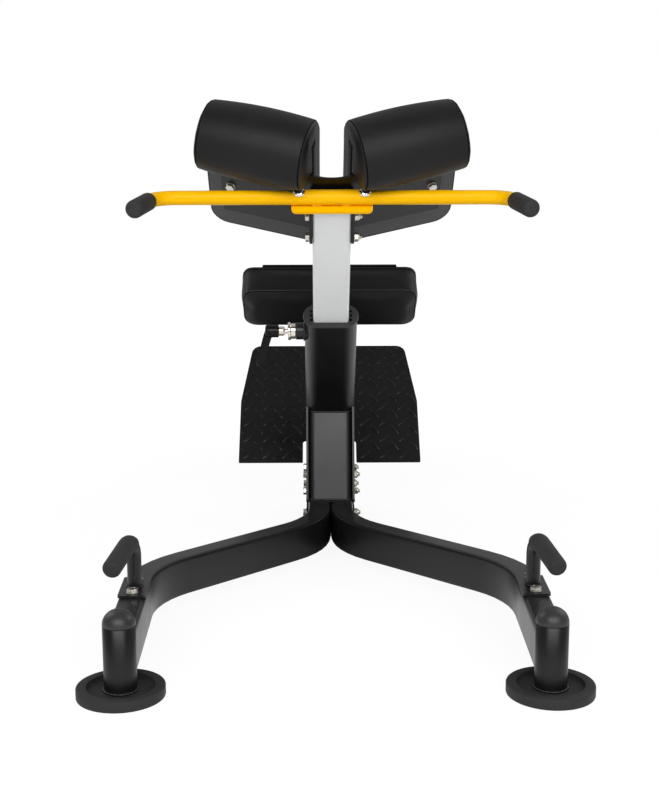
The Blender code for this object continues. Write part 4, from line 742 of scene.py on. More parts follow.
class BENCH_OT_tread(bpy.types.Operator):
    """Raised ribs of the tread plate"""
    bl_idname = "bench.tread"
    bl_label = "Tread Pattern"

    def execute(self, context):
        sizes = sizes_of(context.scene.bench_tread)
        top = max((MAST.inverted() @ v.co).z for v in frame["nodes"]["tread_plate"].data.vertices)
        rib = self.rib(sizes)
        bm = bmesh.new()
        for row in range(13):
            for column in range(11):
                for shift, lift, turn in ((0.0, 0.0, -52), (0.5, 0.45, 40)):
                    x = FIRST_RIB[0] + (row - 2 + shift) * sizes.pitch
                    y = FIRST_RIB[1] + (column - 2 + lift) * sizes.pitch
                    spin = Matrix.Rotation(math.radians(turn), 4, "Z")
                    lay(bm, rib, Matrix.Translation((x, y, top)) @ spin)
        bpy.data.meshes.remove(rib)
        self.trim(bm, sizes, top)
        finished("tread_ribs", bm, "base", "tread_black", smooth=50, looks=["worn rib paint"])
        return {"FINISHED"}

    def rib(self, sizes):
        """One lens-shaped rib about its own middle."""
        bm = bmesh.new()
        bmesh.ops.create_uvsphere(bm, u_segments=12, v_segments=6, radius=1.0)
        for v in bm.verts:
            v.co.y *= math.sqrt(max(0.0, 1 - v.co.x * v.co.x)) * 0.6 + 0.4
        bm.transform(Matrix.Diagonal((sizes.rib_length / 2, sizes.rib_width / 2, sizes.rib_height, 1)))
        return mesh_of(bm, "rib")

    def trim(self, bm, sizes, top):
        """Cut the ribs at the plate's face and just inside its outline."""
        def cut(point, outwards):
            bmesh.ops.bisect_plane(bm, geom=bm.verts[:] + bm.edges[:] + bm.faces[:], dist=1e-7,
                                   plane_co=point, plane_no=outwards, clear_outer=True)
            bmesh.ops.holes_fill(bm, edges=[e for e in bm.edges if e.is_boundary], sides=0)

        low, back = sizes.low + sizes.margin, sizes.back - sizes.margin
        wide, narrow = sizes.half_width - sizes.margin, sizes.top_half_width - sizes.margin
        cut((0, 0, top - 0.0002), (0, 0, -1))
        cut((0, low, top), (0, -1, 0))
        lean = math.atan2(wide - narrow, back - sizes.taper)
        side = Vector((math.cos(lean), math.sin(lean)))
        middle = Vector((0, back - sizes.corner))
        middle.x = (side.dot((wide, sizes.taper)) - sizes.corner - side.y * middle.y) / side.x
        for sign in (-1, 1):
            cut((sign * wide, 0, top), (sign, 0, 0))
            # the rounded corner is cut in steps, from the side's lean to the back edge
            for step in range(5):
                angle = lean + (math.pi / 2 - lean) * step / 4
                out = Vector((math.cos(angle), math.sin(angle)))
                point = middle + out * sizes.corner
                cut((sign * point.x, point.y, top), (sign * out.x, out.y, 0))
        # whole ribs go where the plate's notch and the mast's weld are
        front = [v for v in bm.verts if abs(v.co.x) < sizes.notch_half_width and v.co.y < sizes.notch_depth]
        lost = set()
        while front:
            v = front.pop()
            if v not in lost:
                lost.add(v)
                front += [e.other_vert(v) for e in v.link_edges]
        bmesh.ops.delete(bm, geom=list(lost), context="VERTS")
        bm.transform(MAST)


class BENCH_OT_grips(bpy.types.Operator):
    """Foam grips on the pull bar and the push-up handles"""
    bl_idname = "bench.grips"
    bl_label = "Foam Grips"

    def execute(self, context):
        sizes = sizes_of(context.scene.bench_grips)
        for side, sign in SIDES:
            self.bar_grip(f"bar_grip_{side}", sign, sizes)
            self.handle_grip(f"step_grip_{side}", side, sign, sizes)
        return {"FINISHED"}

    def bar_grip(self, node, sign, sizes):
        points = [v.co for v in frame["nodes"][node].data.vertices]
        middle, axis = long_axis(points)
        axis = axis if axis.x * sign > 0 else -axis
        reach = [(p - middle).dot(axis) for p in points]
        start, end = middle + axis * min(reach), middle + axis * max(reach)
        self.foam(node, [(start, axis)], end, axis, Vector((0, 0, 1)), "carriage", sizes)

    def handle_grip(self, node, side, sign, sizes):
        """Over the second half of the bend, then straight forwards and a little outwards."""
        ahead = Vector((math.sin(sizes.splay) * sign, -math.cos(sizes.splay), 0))
        up = Vector((0, 0, 1))
        pivot = handle_foot(side).xy.to_3d() + up * sizes.bend_height + ahead * sizes.bend_radius
        path = []
        for step in range(5):
            turn = sizes.bend * (0.55 + 0.45 * step / 4)
            out = up * math.sin(turn) - ahead * math.cos(turn)
            path.append((pivot + out * sizes.bend_radius, ahead * math.sin(turn) + up * math.cos(turn)))
        last, heading = path[-1]
        # the foam ends where the CAD grip's end face is
        points = [v.co for v in frame["nodes"][node].data.vertices]
        far = max(p.dot(heading) for p in points)
        face = [p for p in points if p.dot(heading) > far - 0.0005]
        shift = sum(face, Vector()) / len(face) - last - heading * sizes.length
        path = [(point + shift, along) for point, along in path]
        end = last + shift + heading * sizes.length
        self.foam(node, path, end, heading, ahead.cross(up), "base", sizes)

    def foam(self, node, path, end, heading, side, body, sizes):
        """From inside the far end of the bore, out round the open mouth and along to the rounded end."""
        end_wall, lip, edge = 0.006, 0.0025, sizes.end_round
        rings = [ring(end - heading * end_wall, heading, side, sizes.bore)]
        rings += [ring(point, along, side, sizes.bore) for point, along in path[::-1]]
        first, along = path[0]
        for angle in quarter(4)[1:]:
            radius = sizes.radius - lip + lip * math.sin(angle)
            rings.append(ring(first + along * lip * (1 - math.cos(angle)), along, side, radius))
        rings += [ring(point, along, side, sizes.radius) for point, along in path[1:]]
        for angle in quarter(8):
            radius = sizes.radius - edge + edge * math.cos(angle)
            rings.append(ring(end - heading * edge * (1 - math.sin(angle)), heading, side, radius))
        rings.append(ring(end + heading * 0.0006, heading, side, (sizes.radius - edge) * 0.4))
        bm = bmesh.new()
        swept(bm, round_outline(bm, 40), rings)
        finished(node.replace("grip", "foam"), bm, body, "grip", [node], 50)


class BENCH_OT_feet(bpy.types.Operator):
    """Rubber feet, posts and domed caps"""
    bl_idname = "bench.feet"
    bl_label = "Feet"

    def execute(self, context):
        sizes = sizes_of(context.scene.bench_feet)
        for side, _ in SIDES:
            cap = f"foot_cap_{side}"
            self.rubber(f"foot_rubber_{side}", sizes)
            self.post(f"foot_post_{side}", half_width(cap))
            self.cap(cap, half_width(cap), sizes)
        return {"FINISHED"}

    def rubber(self, node, sizes):
        place, low, high = axis_span(node, (0, 0, 1))
        radius, edge = half_width(node), sizes.edge
        well = radius - sizes.rim
        profile = [(low, 0.0), (low, radius - edge * 0.5), (low + edge * 0.15, radius - edge * 0.15),
                   (low + edge * 0.6, radius)]
        profile += [(high - edge + edge * math.sin(a), radius - edge + edge * math.cos(a))
                    for a in quarter(5)]
        profile += [(high - edge * 0.5 * (1 - math.cos(a)), well + edge * 0.5 * (1 - math.sin(a)))
                    for a in quarter(3)]
        profile += [(sizes.floor + 0.001, well - 0.0008), (sizes.floor, well - 0.002), (sizes.floor, 0.0)]
        turned_piece(node.replace("rubber", "cup"), profile, place, 72, "base", "rubber", node, 50)

    def post(self, node, radius):
        place, low, high = axis_span(node, (0, 0, 1))
        profile = [(low, 0.0), (low, radius), (high - 0.0008, radius), (high, radius - 0.0008), (high, 0.0)]
        turned_piece(node.replace("post", "tube"), profile, place, 64, "base", "frame_black", node, 50)

    def cap(self, node, radius, sizes):
        place, low, high = axis_span(node, (0, 0, 1))
        skirt = low + sizes.skirt
        profile = [(low, 0.0), (low, radius - 0.0006), (low + 0.0006, radius), (skirt, radius)]
        profile += [(skirt + (high - skirt) * math.sin(a), radius * math.cos(a)) for a in quarter(15)[1:-1]]
        turned_piece(node.replace("cap", "dome"), profile + [(high, 0.0)], place, 64, "base", "cap_plastic",
                     node, 60)


class BENCH_OT_lever(bpy.types.Operator):
    """Pull pin, its collar and the clamping lever"""
    bl_idname = "bench.lever"
    bl_label = "Pin and Lever"

    def execute(self, context):
        self.collar()
        self.pin()
        self.lever(sizes_of(context.scene.bench_lever))
        return {"FINISHED"}

    def collar(self):
        """Flange, rounded shoulder and body on the mast's boss."""
        place, low, high = axis_span("pin_collar", (1, 0, 0))
        radius = half_width("pin_collar", 2)
        body, bore, shoulder = radius * 0.857, 0.0064, low + 0.0066
        profile = [(low, bore), (low, radius - 0.0016), (low + 0.0005, radius - 0.0005),
                   (low + 0.0016, radius), (shoulder - 0.0016, radius), (shoulder - 0.0005, radius - 0.0005),
                   (shoulder, radius - 0.0016), (shoulder, body + 0.001), (shoulder + 0.001, body),
                   (high - 0.0008, body), (high, body - 0.0008), (high, bore), (low, bore)]
        turned_piece("pin_flange", profile, place, 48, "base", "chrome", "pin_collar", 35)

    def pin(self):
        """Sprung pin with a grooved ferrule between the collar and the lever."""
        place, low, high = axis_span("pull_pin", (1, 0, 0))
        radius, shaft, pin, nose = half_width("pull_pin", 2), 0.0050, 0.0060, 0.0015
        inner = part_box("pin_collar")[0][0]
        right = inner - 0.0057
        left = right - 0.0150
        groove = radius * 0.93
        profile = [(low, 0.0), (low, shaft), (left, shaft), (left, radius - 0.001), (left + 0.001, radius),
                   (left + 0.0042, radius), (left + 0.0048, groove), (left + 0.0062, groove),
                   (left + 0.0068, radius), (right - 0.0052, radius), (right - 0.0022, radius * 0.80),
                   (right, shaft * 1.5), (right, shaft), (inner + 0.004, shaft), (inner + 0.004, pin),
                   (high - nose, pin), (high, pin - nose), (high, 0.0)]
        turned_piece("pin_ferrule", profile, place, 48, "pin", "chrome", "pull_pin", 35)

    def lever(self, sizes):
        """Turned hub with a flat tapering arm, and the panel let into the arm's front."""
        inner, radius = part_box("lever")[1][0], sizes.hub_radius
        outer = inner - sizes.hub_length
        pivot = Vector(LEVER_PIVOT)
        place = Matrix.Translation((0, pivot.y, pivot.z)) @ Matrix.Rotation(math.pi / 2, 4, "Y")
        profile = [(outer, 0.0), (outer, radius * 0.62), (outer + 0.0006, radius * 0.80),
                   (outer + 0.0018, radius * 0.92), (outer + 0.0040, radius), (inner - 0.0016, radius),
                   (inner - 0.0004, radius - 0.0006), (inner, radius - 0.0018), (inner, 0.0)]
        bm = bmesh.new()
        turned(bm, profile, place, 40)
        root = Vector((outer + 0.0088, pivot.y, pivot.z))
        arm = Vector((-sizes.splay, 0, -sizes.reach))
        along = arm.normalized()
        rings = []
        for share, wide, deep in ARM_STATIONS:
            width = sizes.root_width + (sizes.tip_width - sizes.root_width) * share
            rings.append(ring(root + arm * share, along, Vector((1, 0, 0)),
                              width / 2 * wide, sizes.thickness / 2 * deep))
        made = set(swept(bm, square_outline(bm, 0.42, 4), rings))
        bm.normal_update()
        front = [f for f in bm.faces if made.issuperset(f.verts) and f.normal.y < -0.93
                 and 0.17 < (f.calc_center_median() - root).dot(along) / arm.length < 0.9]
        bmesh.ops.recalc_face_normals(bm, faces=bm.faces)
        bmesh.ops.inset_region(bm, faces=front, thickness=0.0013, depth=-0.0008, use_boundary=True,
                               use_even_offset=True)
        for face in front:
            face.material_index = 1
        finished("clamp_lever", bm, "lever", "lever_black", ["lever"], 35, ["lever plastic", "lever panel"])


class BENCH_OT_welds(bpy.types.Operator):
    """Welds where tubes and plates join"""
    bl_idname = "bench.welds"
    bl_label = "Welds"

    def execute(self, context):
        sizes = sizes_of(context.scene.bench_welds)
        ripple = self.ripple(sizes)
        brace = self.loop(*BRACE_OUTLINE)
        foot = Vector((0, BRACE_Y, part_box("brace")[0][2] + 0.0058))
        lines = {
            "brace_foot_weld": [foot + Vector((x, y, 0)) for x, y in brace],
            "brace_head_weld": [self.on_mast(x, BRACE_HEAD + h * 1.033, 0.0008) for x, h in brace],
            "calf_arm_weld": [MAST @ Vector((x, 0.0318, CALF_ARM_HEIGHT + h))
                              for x, h in self.loop(0.0255, 0.0255, 0.006)],
            "boss_weld": [Vector((-0.0606, LEVER_PIVOT[1] + y, LEVER_PIVOT[2] + z))
                          for y, z in self.loop(0.0203)],
        }
        for side, _ in SIDES:
            cap = f"foot_cap_{side}"
            post = sum(map(Vector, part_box(cap)), Vector()) / 2
            lines[f"post_weld_{side}"] = [Vector((post.x + x, post.y + y, 0.0128))
                                          for x, y in self.loop(half_width(cap) + 0.0006)]
            foot = handle_foot(side)
            lines[f"handle_weld_{side}"] = [Vector((foot.x + x, foot.y + y, 0.1201))
                                            for x, y in self.loop(0.0145)]
        for name, line in lines.items():
            bm = bmesh.new()
            self.beads(bm, ripple, line, sizes, True)
            slot = "frame_grey" if name.startswith("brace") else "frame_black"
            finished(name, bm, "base", slot, smooth=180, looks=["painted weld"])
        self.stitch_welds(ripple, sizes)
        bpy.data.meshes.remove(ripple)
        return {"FINISHED"}

    def stitch_welds(self, ripple, sizes):
        """Two short welds on each side of the bar, where it lies on its plate."""
        plate = frame["nodes"]["bar_plate"].data.vertices
        level = max((MAST.inverted() @ v.co).z for v in plate) + 0.0024
        bm = bmesh.new()
        for centre in (-0.0303, 0.0303):
            for y in (-0.0149, 0.0035):
                line = [MAST @ Vector((centre + step * 0.002, y, level)) for step in range(-4, 5)]
                self.beads(bm, ripple, line, sizes, False)
        finished("bar_stitch_welds", bm, "carriage", "yellow", smooth=180, looks=["painted bar weld"])

    def ripple(self, sizes):
        """One ripple of weld metal, long in x."""
        bm = bmesh.new()
        bmesh.ops.create_icosphere(bm, subdivisions=2, radius=1.0)
        bm.transform(Matrix.Diagonal((sizes.length / 2, sizes.width / 2, sizes.width * 0.42, 1)))
        return mesh_of(bm, "ripple")

    def loop(self, half_w, half_h=None, radius=None):
        """Points round a rectangle with rounded corners, or round a circle."""
        half_h, radius = half_h or half_w, radius or half_w
        x, y = half_w - radius, half_h - radius
        points = []
        for cx, cy, start in ((x, y, 0), (-x, y, 90), (-x, -y, 180), (x, -y, 270)):
            for step in range(9):
                angle = math.radians(start + 90 * step / 8)
                points.append((cx + radius * math.cos(angle), cy + radius * math.sin(angle)))
        return points + points[:1]

    def on_mast(self, x, height, proud):
        """A point on the front of the mast's flat-oval sleeve."""
        flat = SLEEVE_HALF_WIDTH - SLEEVE_HALF_DEPTH
        depth = math.sqrt(SLEEVE_HALF_DEPTH ** 2 - max(abs(x) - flat, 0) ** 2) + proud
        return MAST @ Vector((x, -depth, height))

    def beads(self, bm, ripple, line, sizes, wavy):
        """Ripples laid one over the next along a line of points."""
        for count, (spot, _, along) in enumerate(spots_along(line, sizes.pitch)):
            swell = 1 + 0.10 * math.sin(count * 2.1) + 0.06 * math.sin(count * 5.3) if wavy else 1.0
            place = ring(spot, along, (0.31, 0.52, 0.79), 1)
            lay(bm, ripple, place @ RIPPLE_TURN @ Matrix.Scale(swell, 4))


def round_rim(bm, radius, rim_test):
    """Round off the sharp edges that pass a test."""
    rim = [e for e in bm.edges if len(e.link_faces) == 2 and e.calc_face_angle(0) > math.radians(55)
           and rim_test((e.verts[0].co + e.verts[1].co) / 2)]
    bmesh.ops.bevel(bm, geom=rim, offset=radius, offset_type="OFFSET", segments=4,
                    profile=0.5, affect="EDGES", material=-1, clamp_overlap=True)


def apply_modifiers(obj):
    graph = bpy.context.evaluated_depsgraph_get()
    graph.update()
    mesh = bpy.data.meshes.new_from_object(obj.evaluated_get(graph))
    obj.modifiers.clear()
    obj.data = mesh


def smooth_mesh(obj, freedom):
    """Smooth a cover wherever it isn't held against something."""
    bm = bmesh.new()
    bm.from_mesh(obj.data)
    loose = [v for v in bm.verts if freedom(v.co) > 0.5]
    for _ in range(2):
        bmesh.ops.smooth_vert(bm, verts=loose, factor=0.5, use_axis_x=True, use_axis_y=True, use_axis_z=True)
    bm.to_mesh(obj.data)
    bm.free()


def cushion_mesh(bm, node, sizes, freedom, crown):
    """A cushion's form in its own frame: remeshed, crowned and filled."""
    cover = placed(node + "_cover", mesh_of(bm, node + "_cover"))
    remesh = cover.modifiers.new("remesh", "REMESH")
    remesh.mode = "SHARP"
    remesh.octree_depth = 7
    remesh.scale = max(cover.dimensions) / (2 ** remesh.octree_depth * sizes.voxel)
    apply_modifiers(cover)
    smooth_mesh(cover, freedom)
    shrink = sizes.shrink
    normals = [v.normal.copy() for v in cover.data.vertices]
    for v, normal in zip(cover.data.vertices, normals):
        v.co += normal * (crown(v.co, normal) - shrink) * freedom(v.co)
    inflate(cover, sizes, freedom)
    return cover


def inflate(cover, sizes, freedom):
    """Fill the cover by pressure for 20 frames, each point kept near where it started."""
    start = [(v.co.copy(), v.normal.copy()) for v in cover.data.vertices]
    cloth = cover.modifiers.new("fill", "CLOTH")
    cloth.settings.quality = 3
    cloth.settings.mass = 0.3
    cloth.settings.tension_stiffness = 15
    cloth.settings.compression_stiffness = 15
    cloth.settings.bending_stiffness = 2.0
    cloth.settings.use_pressure = True
    cloth.settings.uniform_pressure_force = sizes.pressure
    cloth.settings.effector_weights.gravity = 0.0
    cloth.collision_settings.use_collision = False
    cloth.point_cache.frame_start = 1
    cloth.point_cache.frame_end = 20
    for number in range(1, 21):
        bpy.context.scene.frame_set(number)
    apply_modifiers(cover)
    for v, (rest, normal) in zip(cover.data.vertices, start):
        move = v.co - rest
        out = move.dot(normal)
        along = move - normal * out
        out = max(min(out, sizes.cap * freedom(rest)), -sizes.sink)
        v.co = rest + normal * out + along * min(1.0, sizes.sink / max(along.length, 1e-9))
    bpy.context.scene.frame_set(1)
    smooth_mesh(cover, freedom)


def sew(bm, point, across, sizes, where):
    """Pull a seam into a closed surface where a plane crosses it, with painted shade in its valley; gives the
    seam's points.
    """
    reach, on_cut, near_cut = 0.012, 0.0002, 0.0004
    for offset in (-sizes.seam_width, 0.0, sizes.seam_width):
        near = {f for f in bm.faces if abs((f.calc_center_median() - point).dot(across)) < reach}
        geom = list(near | {e for f in near for e in f.edges} | {v for f in near for v in f.verts})
        bmesh.ops.bisect_plane(bm, geom=geom, dist=on_cut, plane_co=point + across * offset, plane_no=across,
                               use_snap_center=False)
    bm.normal_update()
    bm.verts.index_update()
    seam = [(v, abs((v.co - point).dot(across))) for v in bm.verts if where(v.co, v.normal)]
    valley = [v for v, off in seam if off < near_cut]
    shoulders = [v for v, off in seam if abs(off - sizes.seam_width) < near_cut]
    line = [(v.co.copy(), v.normal.copy()) for v in walk(v for v, off in seam if off < on_cut * 1.02)]
    for verts, height in ((valley, -sizes.seam_depth), (shoulders, sizes.seam_rise)):
        for v in verts:
            v.co += v.normal * height
    # the valley's faces take the second material, painted shade in the seam's fold
    for face in {f for v in valley for f in v.link_faces}:
        face.material_index = 1
    return line


def walk(verts):
    """The longest run of joined vertices, in order, from the lowest-numbered end."""
    left, best = set(verts), []
    while left:
        ends = [v for v in left if sum(e.other_vert(v) in left for e in v.link_edges) == 1]
        here, run = min(ends or left, key=lambda v: v.index), []
        while here is not None:
            run.append(here)
            left.discard(here)
            here = next((e.other_vert(here) for e in here.link_edges if e.other_vert(here) in left), None)
        best = max(best, run, key=len)
    return best


def trios(spots):
    """Each spot of a closed line with its neighbours."""
    return zip(spots[-1:] + spots[:-1], spots, spots[1:] + spots[:1])


def piping(bm, line, across, sizes):
    """Round cord sewn in beside a closed seam."""
    spots = [co + normal * sizes.piping * 0.8 + across * sizes.piping for co, normal in line]
    for _ in range(6):
        spots = [(before + here * 2 + after) / 4 for before, here, after in trios(spots)]
    rings = [ring(here, after - before, across, sizes.piping) for before, here, after in trios(spots)]
    swept(bm, round_outline(bm, 8, False), rings, closed=True)


def stitch_row(bm, thread, line, across, sizes):
    """Short threads laid along a seam, one after the next."""
    for spot, index, along in spots_along([co for co, _ in line], sizes.stitch_pitch):
        side = line[index][1].cross(along).normalized()
        basis = Matrix((along, side, along.cross(side))).transposed().to_4x4()
        lay(bm, thread, Matrix.Translation(spot + across * sizes.stitch_side) @ basis)


def finish_cushion(cover, name, node, body, place, sizes, seams):
    """One subdivision, the seams and their stitches, then the piece takes its node's place."""
    sub = cover.modifiers.new("sub", "SUBSURF")
    sub.levels = sub.render_levels = 1
    apply_modifiers(cover)
    bm, threads, cords, stitch = bmesh.new(), bmesh.new(), bmesh.new(), bmesh.new()
    bm.from_mesh(cover.data)
    bpy.data.objects.remove(cover)
    bmesh.ops.create_icosphere(stitch, subdivisions=1, radius=1.0)
    stitch.transform(Matrix.Diagonal((sizes.stitch_length / 2, sizes.thread / 2, sizes.thread / 2, 1)))
    stitch = mesh_of(stitch, "thread")
    for point, across, where, side, piped in seams:
        line = sew(bm, Vector(point), Vector(across), sizes, where)
        stitch_row(threads, stitch, line, Vector(across) * side, sizes)
        if piped:
            piping(cords, line, Vector(across) * side, sizes)
    bpy.data.meshes.remove(stitch)
    for each in (bm, threads, cords):
        each.transform(place)
    # the second material is the painted shade in the seams' valleys
    piece = finished(name, bm, body, "vinyl", [node], 180, ["cushion vinyl", "seam fold"])
    if len(cords.verts):
        # the cord takes the lighter vinyl, a painted highlight along the seam
        finished(name + "_piping", cords, body, "vinyl", smooth=180, looks=["piping vinyl"])
    finished(name + "_stitches", threads, body, "vinyl", smooth=180, looks=["stitch thread"])


class BENCH_OT_thigh_pads(bpy.types.Operator):
    """Two rolled thigh pads with sewn end panels"""
    bl_idname = "bench.thigh_pads"
    bl_label = "Thigh Pads"

    def execute(self, context):
        for side, sign in SIDES:
            self.make(f"thigh_pad_{side}", wing_matrix(sign), sizes_of(context.scene.bench_cushions))
        return {"FINISHED"}

    def make(self, node, place, sizes):
        bm = cad_form(node, 2, place.inverted())
        width = max(v.co.x for v in bm.verts)
        slot_low, slot_high, slot_top = BOARD_SLOT

        def in_slot(p):
            return slot_low < p.y < slot_high and p.z < slot_top

        def at_end(p):
            return (p.x < 0.002 or p.x > width - 0.002) and not in_slot(p)

        def wrap(co, normal):
            return abs(normal.x) < 0.6 and not in_slot(co)

        def freedom(p):
            """Less freedom beside the board and the plate, which the pad clasps."""
            beside = max(abs(p.y - (slot_low + slot_high) / 2) - (slot_high - slot_low) / 2, 0) / 0.012
            below = 1.0 if p.z < slot_top else max(0.0, 1 - (p.z - slot_top) / 0.02)
            return 1 - 0.92 * max(0.0, 1 - beside) * below

        def crown(p, normal):
            """Fuller halfway between the ends, on the faces that run along the pad."""
            share = 1 - (2 * p.x / width - 1) ** 2
            return sizes.crown * share * max(0.0, 1 - 1.5 * abs(normal.x))

        round_rim(bm, sizes.edge_round, at_end)
        cover = cushion_mesh(bm, node, sizes, freedom, crown)
        seams = [((sizes.seam_inset, 0, 0), (1, 0, 0), wrap, 1, False),
                 ((width - sizes.seam_inset, 0, 0), (1, 0, 0), wrap, -1, False)]
        finish_cushion(cover, node.replace("pad", "cushion"), node, "carriage", place, sizes, seams)


class BENCH_OT_calf_pad(bpy.types.Operator):
    """Box cushion behind the ankles"""
    bl_idname = "bench.calf_pad"
    bl_label = "Calf Pad"

    def execute(self, context):
        sizes = sizes_of(context.scene.bench_cushions)
        corners = [MAST.inverted() @ v.co for v in frame["nodes"]["calf_pad"].data.vertices]
        half_w, _, high = (max(p[axis] for p in corners) for axis in range(3))
        _, face, low = (min(p[axis] for p in corners) for axis in range(3))
        back = max(p.y for p in corners)

        def freedom(p):
            return min(1.0, max(0.1, (back - p.y) / 0.02))

        def crown(p, normal):
            """The face swells most at its middle, the band round the sides a little."""
            across = max(0.0, 1 - (p.x / half_w) ** 2)
            up = max(0.0, 1 - ((2 * p.z - low - high) / (high - low)) ** 2)
            return sizes.crown * (across ** 0.5 * up if normal.y < -0.7 else 0.4 * across)

        def band(co, normal):
            return abs(normal.y) < 0.9

        bm = self.form(half_w, low - sizes.calf_drop, high, face, back, sizes)
        cover = cushion_mesh(bm, "calf_pad", sizes, freedom, crown)
        seams = [((0, face + sizes.band_seam, 0), (0, 1, 0), band, 1, True),
                 ((0, back - sizes.band_seam * 2, 0), (0, 1, 0), band, 1, False)]
        finish_cushion(cover, "calf_cushion", "calf_pad", "base", MAST, sizes, seams)
        return {"FINISHED"}

    def form(self, half_w, low, high, face, back, sizes):
        """A slab with rounded corners and a soft edge round its face."""
        bm = bmesh.new()
        bmesh.ops.create_grid(bm, x_segments=1, y_segments=1, size=1.0)
        middle = Vector((0, back, (high + low) / 2))
        bm.transform(Matrix.Translation(middle) @ Matrix.Rotation(math.pi / 2, 4, "X")
                     @ Matrix.Diagonal((half_w, (high - low) / 2, 1, 1)))
        for top, radius in ((True, sizes.calf_top_corner), (False, sizes.calf_low_corner)):
            corners = [v for v in bm.verts if (v.co.z > middle.z) == top and abs(v.co.x) > half_w - 1e-4]
            bmesh.ops.bevel(bm, geom=corners, offset=radius, offset_type="OFFSET", segments=8,
                            profile=0.5, affect="VERTICES", material=-1)
        made = bmesh.ops.extrude_face_region(bm, geom=bm.faces[:])["geom"]
        grown = [v for v in made if isinstance(v, bmesh.types.BMVert)]
        bmesh.ops.translate(bm, vec=(0, face - back, 0), verts=grown)
        bmesh.ops.recalc_face_normals(bm, faces=bm.faces)
        round_rim(bm, sizes.edge_round * 1.5, lambda p: p.y < face + 0.0001)
        return bm


class BENCH_OT_finishes(bpy.types.Operator):
    """Paint, plating, rubber and plastic on the frame's own parts"""
    bl_idname = "bench.finishes"
    bl_label = "Frame Finishes"

    def execute(self, context):
        for name, node in frame["nodes"].items():
            node.data.materials.clear()
            node.data.materials.append(look(SLOT_LOOKS[SLOTS[name]]))
        return {"FINISHED"}


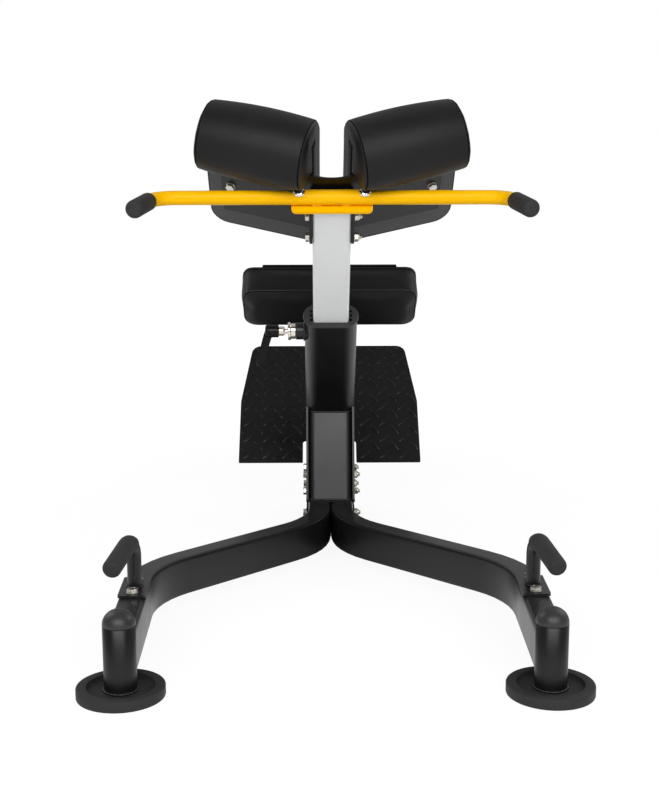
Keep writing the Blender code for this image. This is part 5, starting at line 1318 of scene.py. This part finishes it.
class BENCH_OT_stage(bpy.types.Operator):
    """Pale floor, soft lights and the camera"""
    bl_idname = "bench.stage"
    bl_label = "Studio Stage"

    def execute(self, context):
        settings = sizes_of(context.scene.bench_stage)
        self.floor(settings)
        self.world(settings)
        self.lights(settings)
        self.camera(context.scene)
        context.scene.view_settings.view_transform = "Standard"
        return {"FINISHED"}

    def floor(self, settings):
        bm = bmesh.new()
        bmesh.ops.create_grid(bm, x_segments=1, y_segments=1, size=settings.floor_size / 2,
                              matrix=Matrix.Translation((0, 0, -0.0002)))
        floor = placed("floor", mesh_of(bm, "floor"))
        floor.data.materials.append(self.floor_material(settings))

    def floor_material(self, settings):
        """Matt white that shows as a white page, and keeps the bench's soft shadow."""
        mat = bpy.data.materials.new("stage floor")
        mat.use_nodes = True
        tree = mat.node_tree
        tree.nodes.clear()
        place = add(tree, "TexCoord").outputs["Object"]
        ray = add(tree, "LightPath").outputs
        far = add(tree, "VectorMath", {0: place, 1: (0, 0.35, 0)}, operation="DISTANCE").outputs["Value"]

        def change(start, end, here, there):
            limits = {"From Min": start, "From Max": end, "To Min": here, "To Max": there}
            return add(tree, "MapRange", {"Value": far, **limits}).outputs["Result"]

        def sums(operation, *values):
            return add(tree, "Math", dict(enumerate(values)), operation=operation).outputs["Value"]

        # the camera sees plain white, save for the shadow near the bench
        seen = sums("MULTIPLY", ray["Is Camera Ray"], change(0.8, 2.4, settings.floor_page, 1.0))
        # paint and metal see painted shade under the bench, a dark matt floor without glow, and a white glow
        # beyond it
        beyond = change(0.2, 0.55, 0.0, settings.floor_mirror)
        shown = sums("MULTIPLY_ADD", beyond, ray["Is Glossy Ray"], seen)
        # painted shade: reflections that fall near the bench see a dark matt floor
        under = sums("MULTIPLY", change(0.2, 0.5, 1.0, 0.0), ray["Is Glossy Ray"])
        matt = add(tree, "BsdfDiffuse", {"Color": (0.78, 0.78, 0.78, 1)}).outputs["BSDF"]
        dim = add(tree, "BsdfDiffuse", {"Color": (0.15, 0.15, 0.15, 1)}).outputs["BSDF"]
        page = add(tree, "Emission", {"Color": WHITE, "Strength": 1.06}).outputs["Emission"]
        ground = add(tree, "MixShader", {"Fac": under, 1: matt, 2: dim}).outputs["Shader"]
        mix = add(tree, "MixShader", {"Fac": shown, 1: ground, 2: page}).outputs["Shader"]
        add(tree, "OutputMaterial", {"Surface": mix})
        return mat

    def world(self, settings):
        """White to the camera; lit, it is bright behind and overhead and dim at the sides."""
        world = bpy.data.worlds.new("studio")
        bpy.context.scene.world = world
        world.use_nodes = True
        tree = world.node_tree
        tree.nodes.clear()
        place = add(tree, "TexCoord").outputs["Generated"]
        split = add(tree, "SeparateXYZ", {"Vector": place}).outputs
        glow = settings.side_glow
        for axis, low, high, most in (("Y", -0.1, 0.75, settings.back_glow),
                                      ("Z", 0.15, 1.0, settings.sky_glow)):
            limits = {"From Min": low, "From Max": high, "To Min": 0.0, "To Max": most}
            part = add(tree, "MapRange", {"Value": split[axis], **limits}, interpolation_type="SMOOTHSTEP")
            glow = add(tree, "Math", {0: part.outputs["Result"], 1: glow}, operation="ADD").outputs["Value"]
        lit = add(tree, "Background", {"Color": WHITE, "Strength": glow}).outputs["Background"]
        seen = add(tree, "Background", {"Color": WHITE, "Strength": 1.0}).outputs["Background"]
        camera_ray = add(tree, "LightPath").outputs["Is Camera Ray"]
        mix = add(tree, "MixShader", {"Fac": camera_ray, 1: lit, 2: seen}).outputs["Shader"]
        add(tree, "OutputWorld", {"Surface": mix})

    def lights(self, settings):
        side, rim = settings.side_power, settings.rim_power
        for name, location, width, height, energy in (
                ("top light", (0, -0.3, 3.4), 3.2, 3.2, settings.top_power),
                ("front light", (0.1, -4.5, 2.9), 6.0, 2.4, settings.front_power),
                ("left light", (-2.9, -0.8, 1.5), 2.4, 2.4, side),
                ("right light", (2.9, -0.8, 1.5), 2.4, 2.4, side),
                ("left back light", (-2.5, 0.9, 2.3), 1.4, 1.8, rim),
                ("right back light", (2.5, 0.9, 2.3), 1.4, 1.8, rim)):
            light = placed(name, bpy.data.lights.new(name, "AREA"))
            light.data.shape = "RECTANGLE"
            light.data.size, light.data.size_y = width, height
            light.data.energy = energy
            light.location = location
            aim = Vector((0, -0.1, 0.5)) - Vector(location)
            light.rotation_euler = aim.to_track_quat("-Z", "Y").to_euler()

    def camera(self, scene):
        camera = placed("photo camera", bpy.data.cameras.new("photo camera"))
        camera.data.sensor_fit = "HORIZONTAL"
        camera.data.sensor_width = 36
        camera.data.lens = PHOTO_FOCUS / PHOTO_WIDTH * camera.data.sensor_width
        camera.location = (-0.0298, MAST_FOOT - 3.42563, 0.8948)
        turn = Matrix.Identity(3)
        for axis, degrees in CAMERA_TURNS:
            turn = turn @ Matrix.Rotation(math.radians(degrees), 3, axis)
        camera.rotation_euler = turn.to_euler()
        scene.camera = camera


class BENCH_PT_panel(bpy.types.Panel):
    """Lists the bench's pieces and their sizes"""
    bl_idname = "BENCH_PT_panel"
    bl_label = "Bench Finish"
    bl_space_type = "VIEW_3D"
    bl_region_type = "UI"
    bl_category = "Bench"

    def draw(self, context):
        layout = self.layout
        for operator in OPERATORS:
            layout.operator(operator.bl_idname)
        for name in SETTINGS:
            settings = getattr(context.scene, name)
            column = layout.column(align=True)
            for key in settings.__annotations__:
                column.prop(settings, key)


OPERATORS = (BENCH_OT_stage, BENCH_OT_finishes, BENCH_OT_shells, BENCH_OT_boards, BENCH_OT_fasteners,
             BENCH_OT_tread, BENCH_OT_grips, BENCH_OT_feet, BENCH_OT_lever, BENCH_OT_welds,
             BENCH_OT_thigh_pads, BENCH_OT_calf_pad)
SETTINGS = {
    "bench_colours": BenchColours,
    "bench_cushions": CushionSizes,
    "bench_tread": TreadSizes,
    "bench_fasteners": FastenerSizes,
    "bench_grips": GripSizes,
    "bench_feet": FootSizes,
    "bench_lever": LeverSizes,
    "bench_welds": WeldSizes,
    "bench_stage": StageSettings,
}


def register():
    for name, group in SETTINGS.items():
        bpy.utils.register_class(group)
        setattr(bpy.types.Scene, name, bpy.props.PointerProperty(type=group))
    for operator in OPERATORS:
        bpy.utils.register_class(operator)
    bpy.utils.register_class(BENCH_PT_panel)


def unregister():
    bpy.utils.unregister_class(BENCH_PT_panel)
    for operator in reversed(OPERATORS):
        bpy.utils.unregister_class(operator)
    for name, group in reversed(SETTINGS.items()):
        delattr(bpy.types.Scene, name)
        bpy.utils.unregister_class(group)


def main():
    register()
    bpy.ops.bench.stage()
    bpy.ops.bench.finishes()
    bpy.ops.bench.shells()
    bpy.ops.bench.boards()
    bpy.ops.bench.fasteners()
    bpy.ops.bench.tread()
    bpy.ops.bench.grips()
    bpy.ops.bench.feet()
    bpy.ops.bench.lever()
    bpy.ops.bench.welds()
    bpy.ops.bench.thigh_pads()
    bpy.ops.bench.calf_pad()


if __name__ == "__main__":
    main()
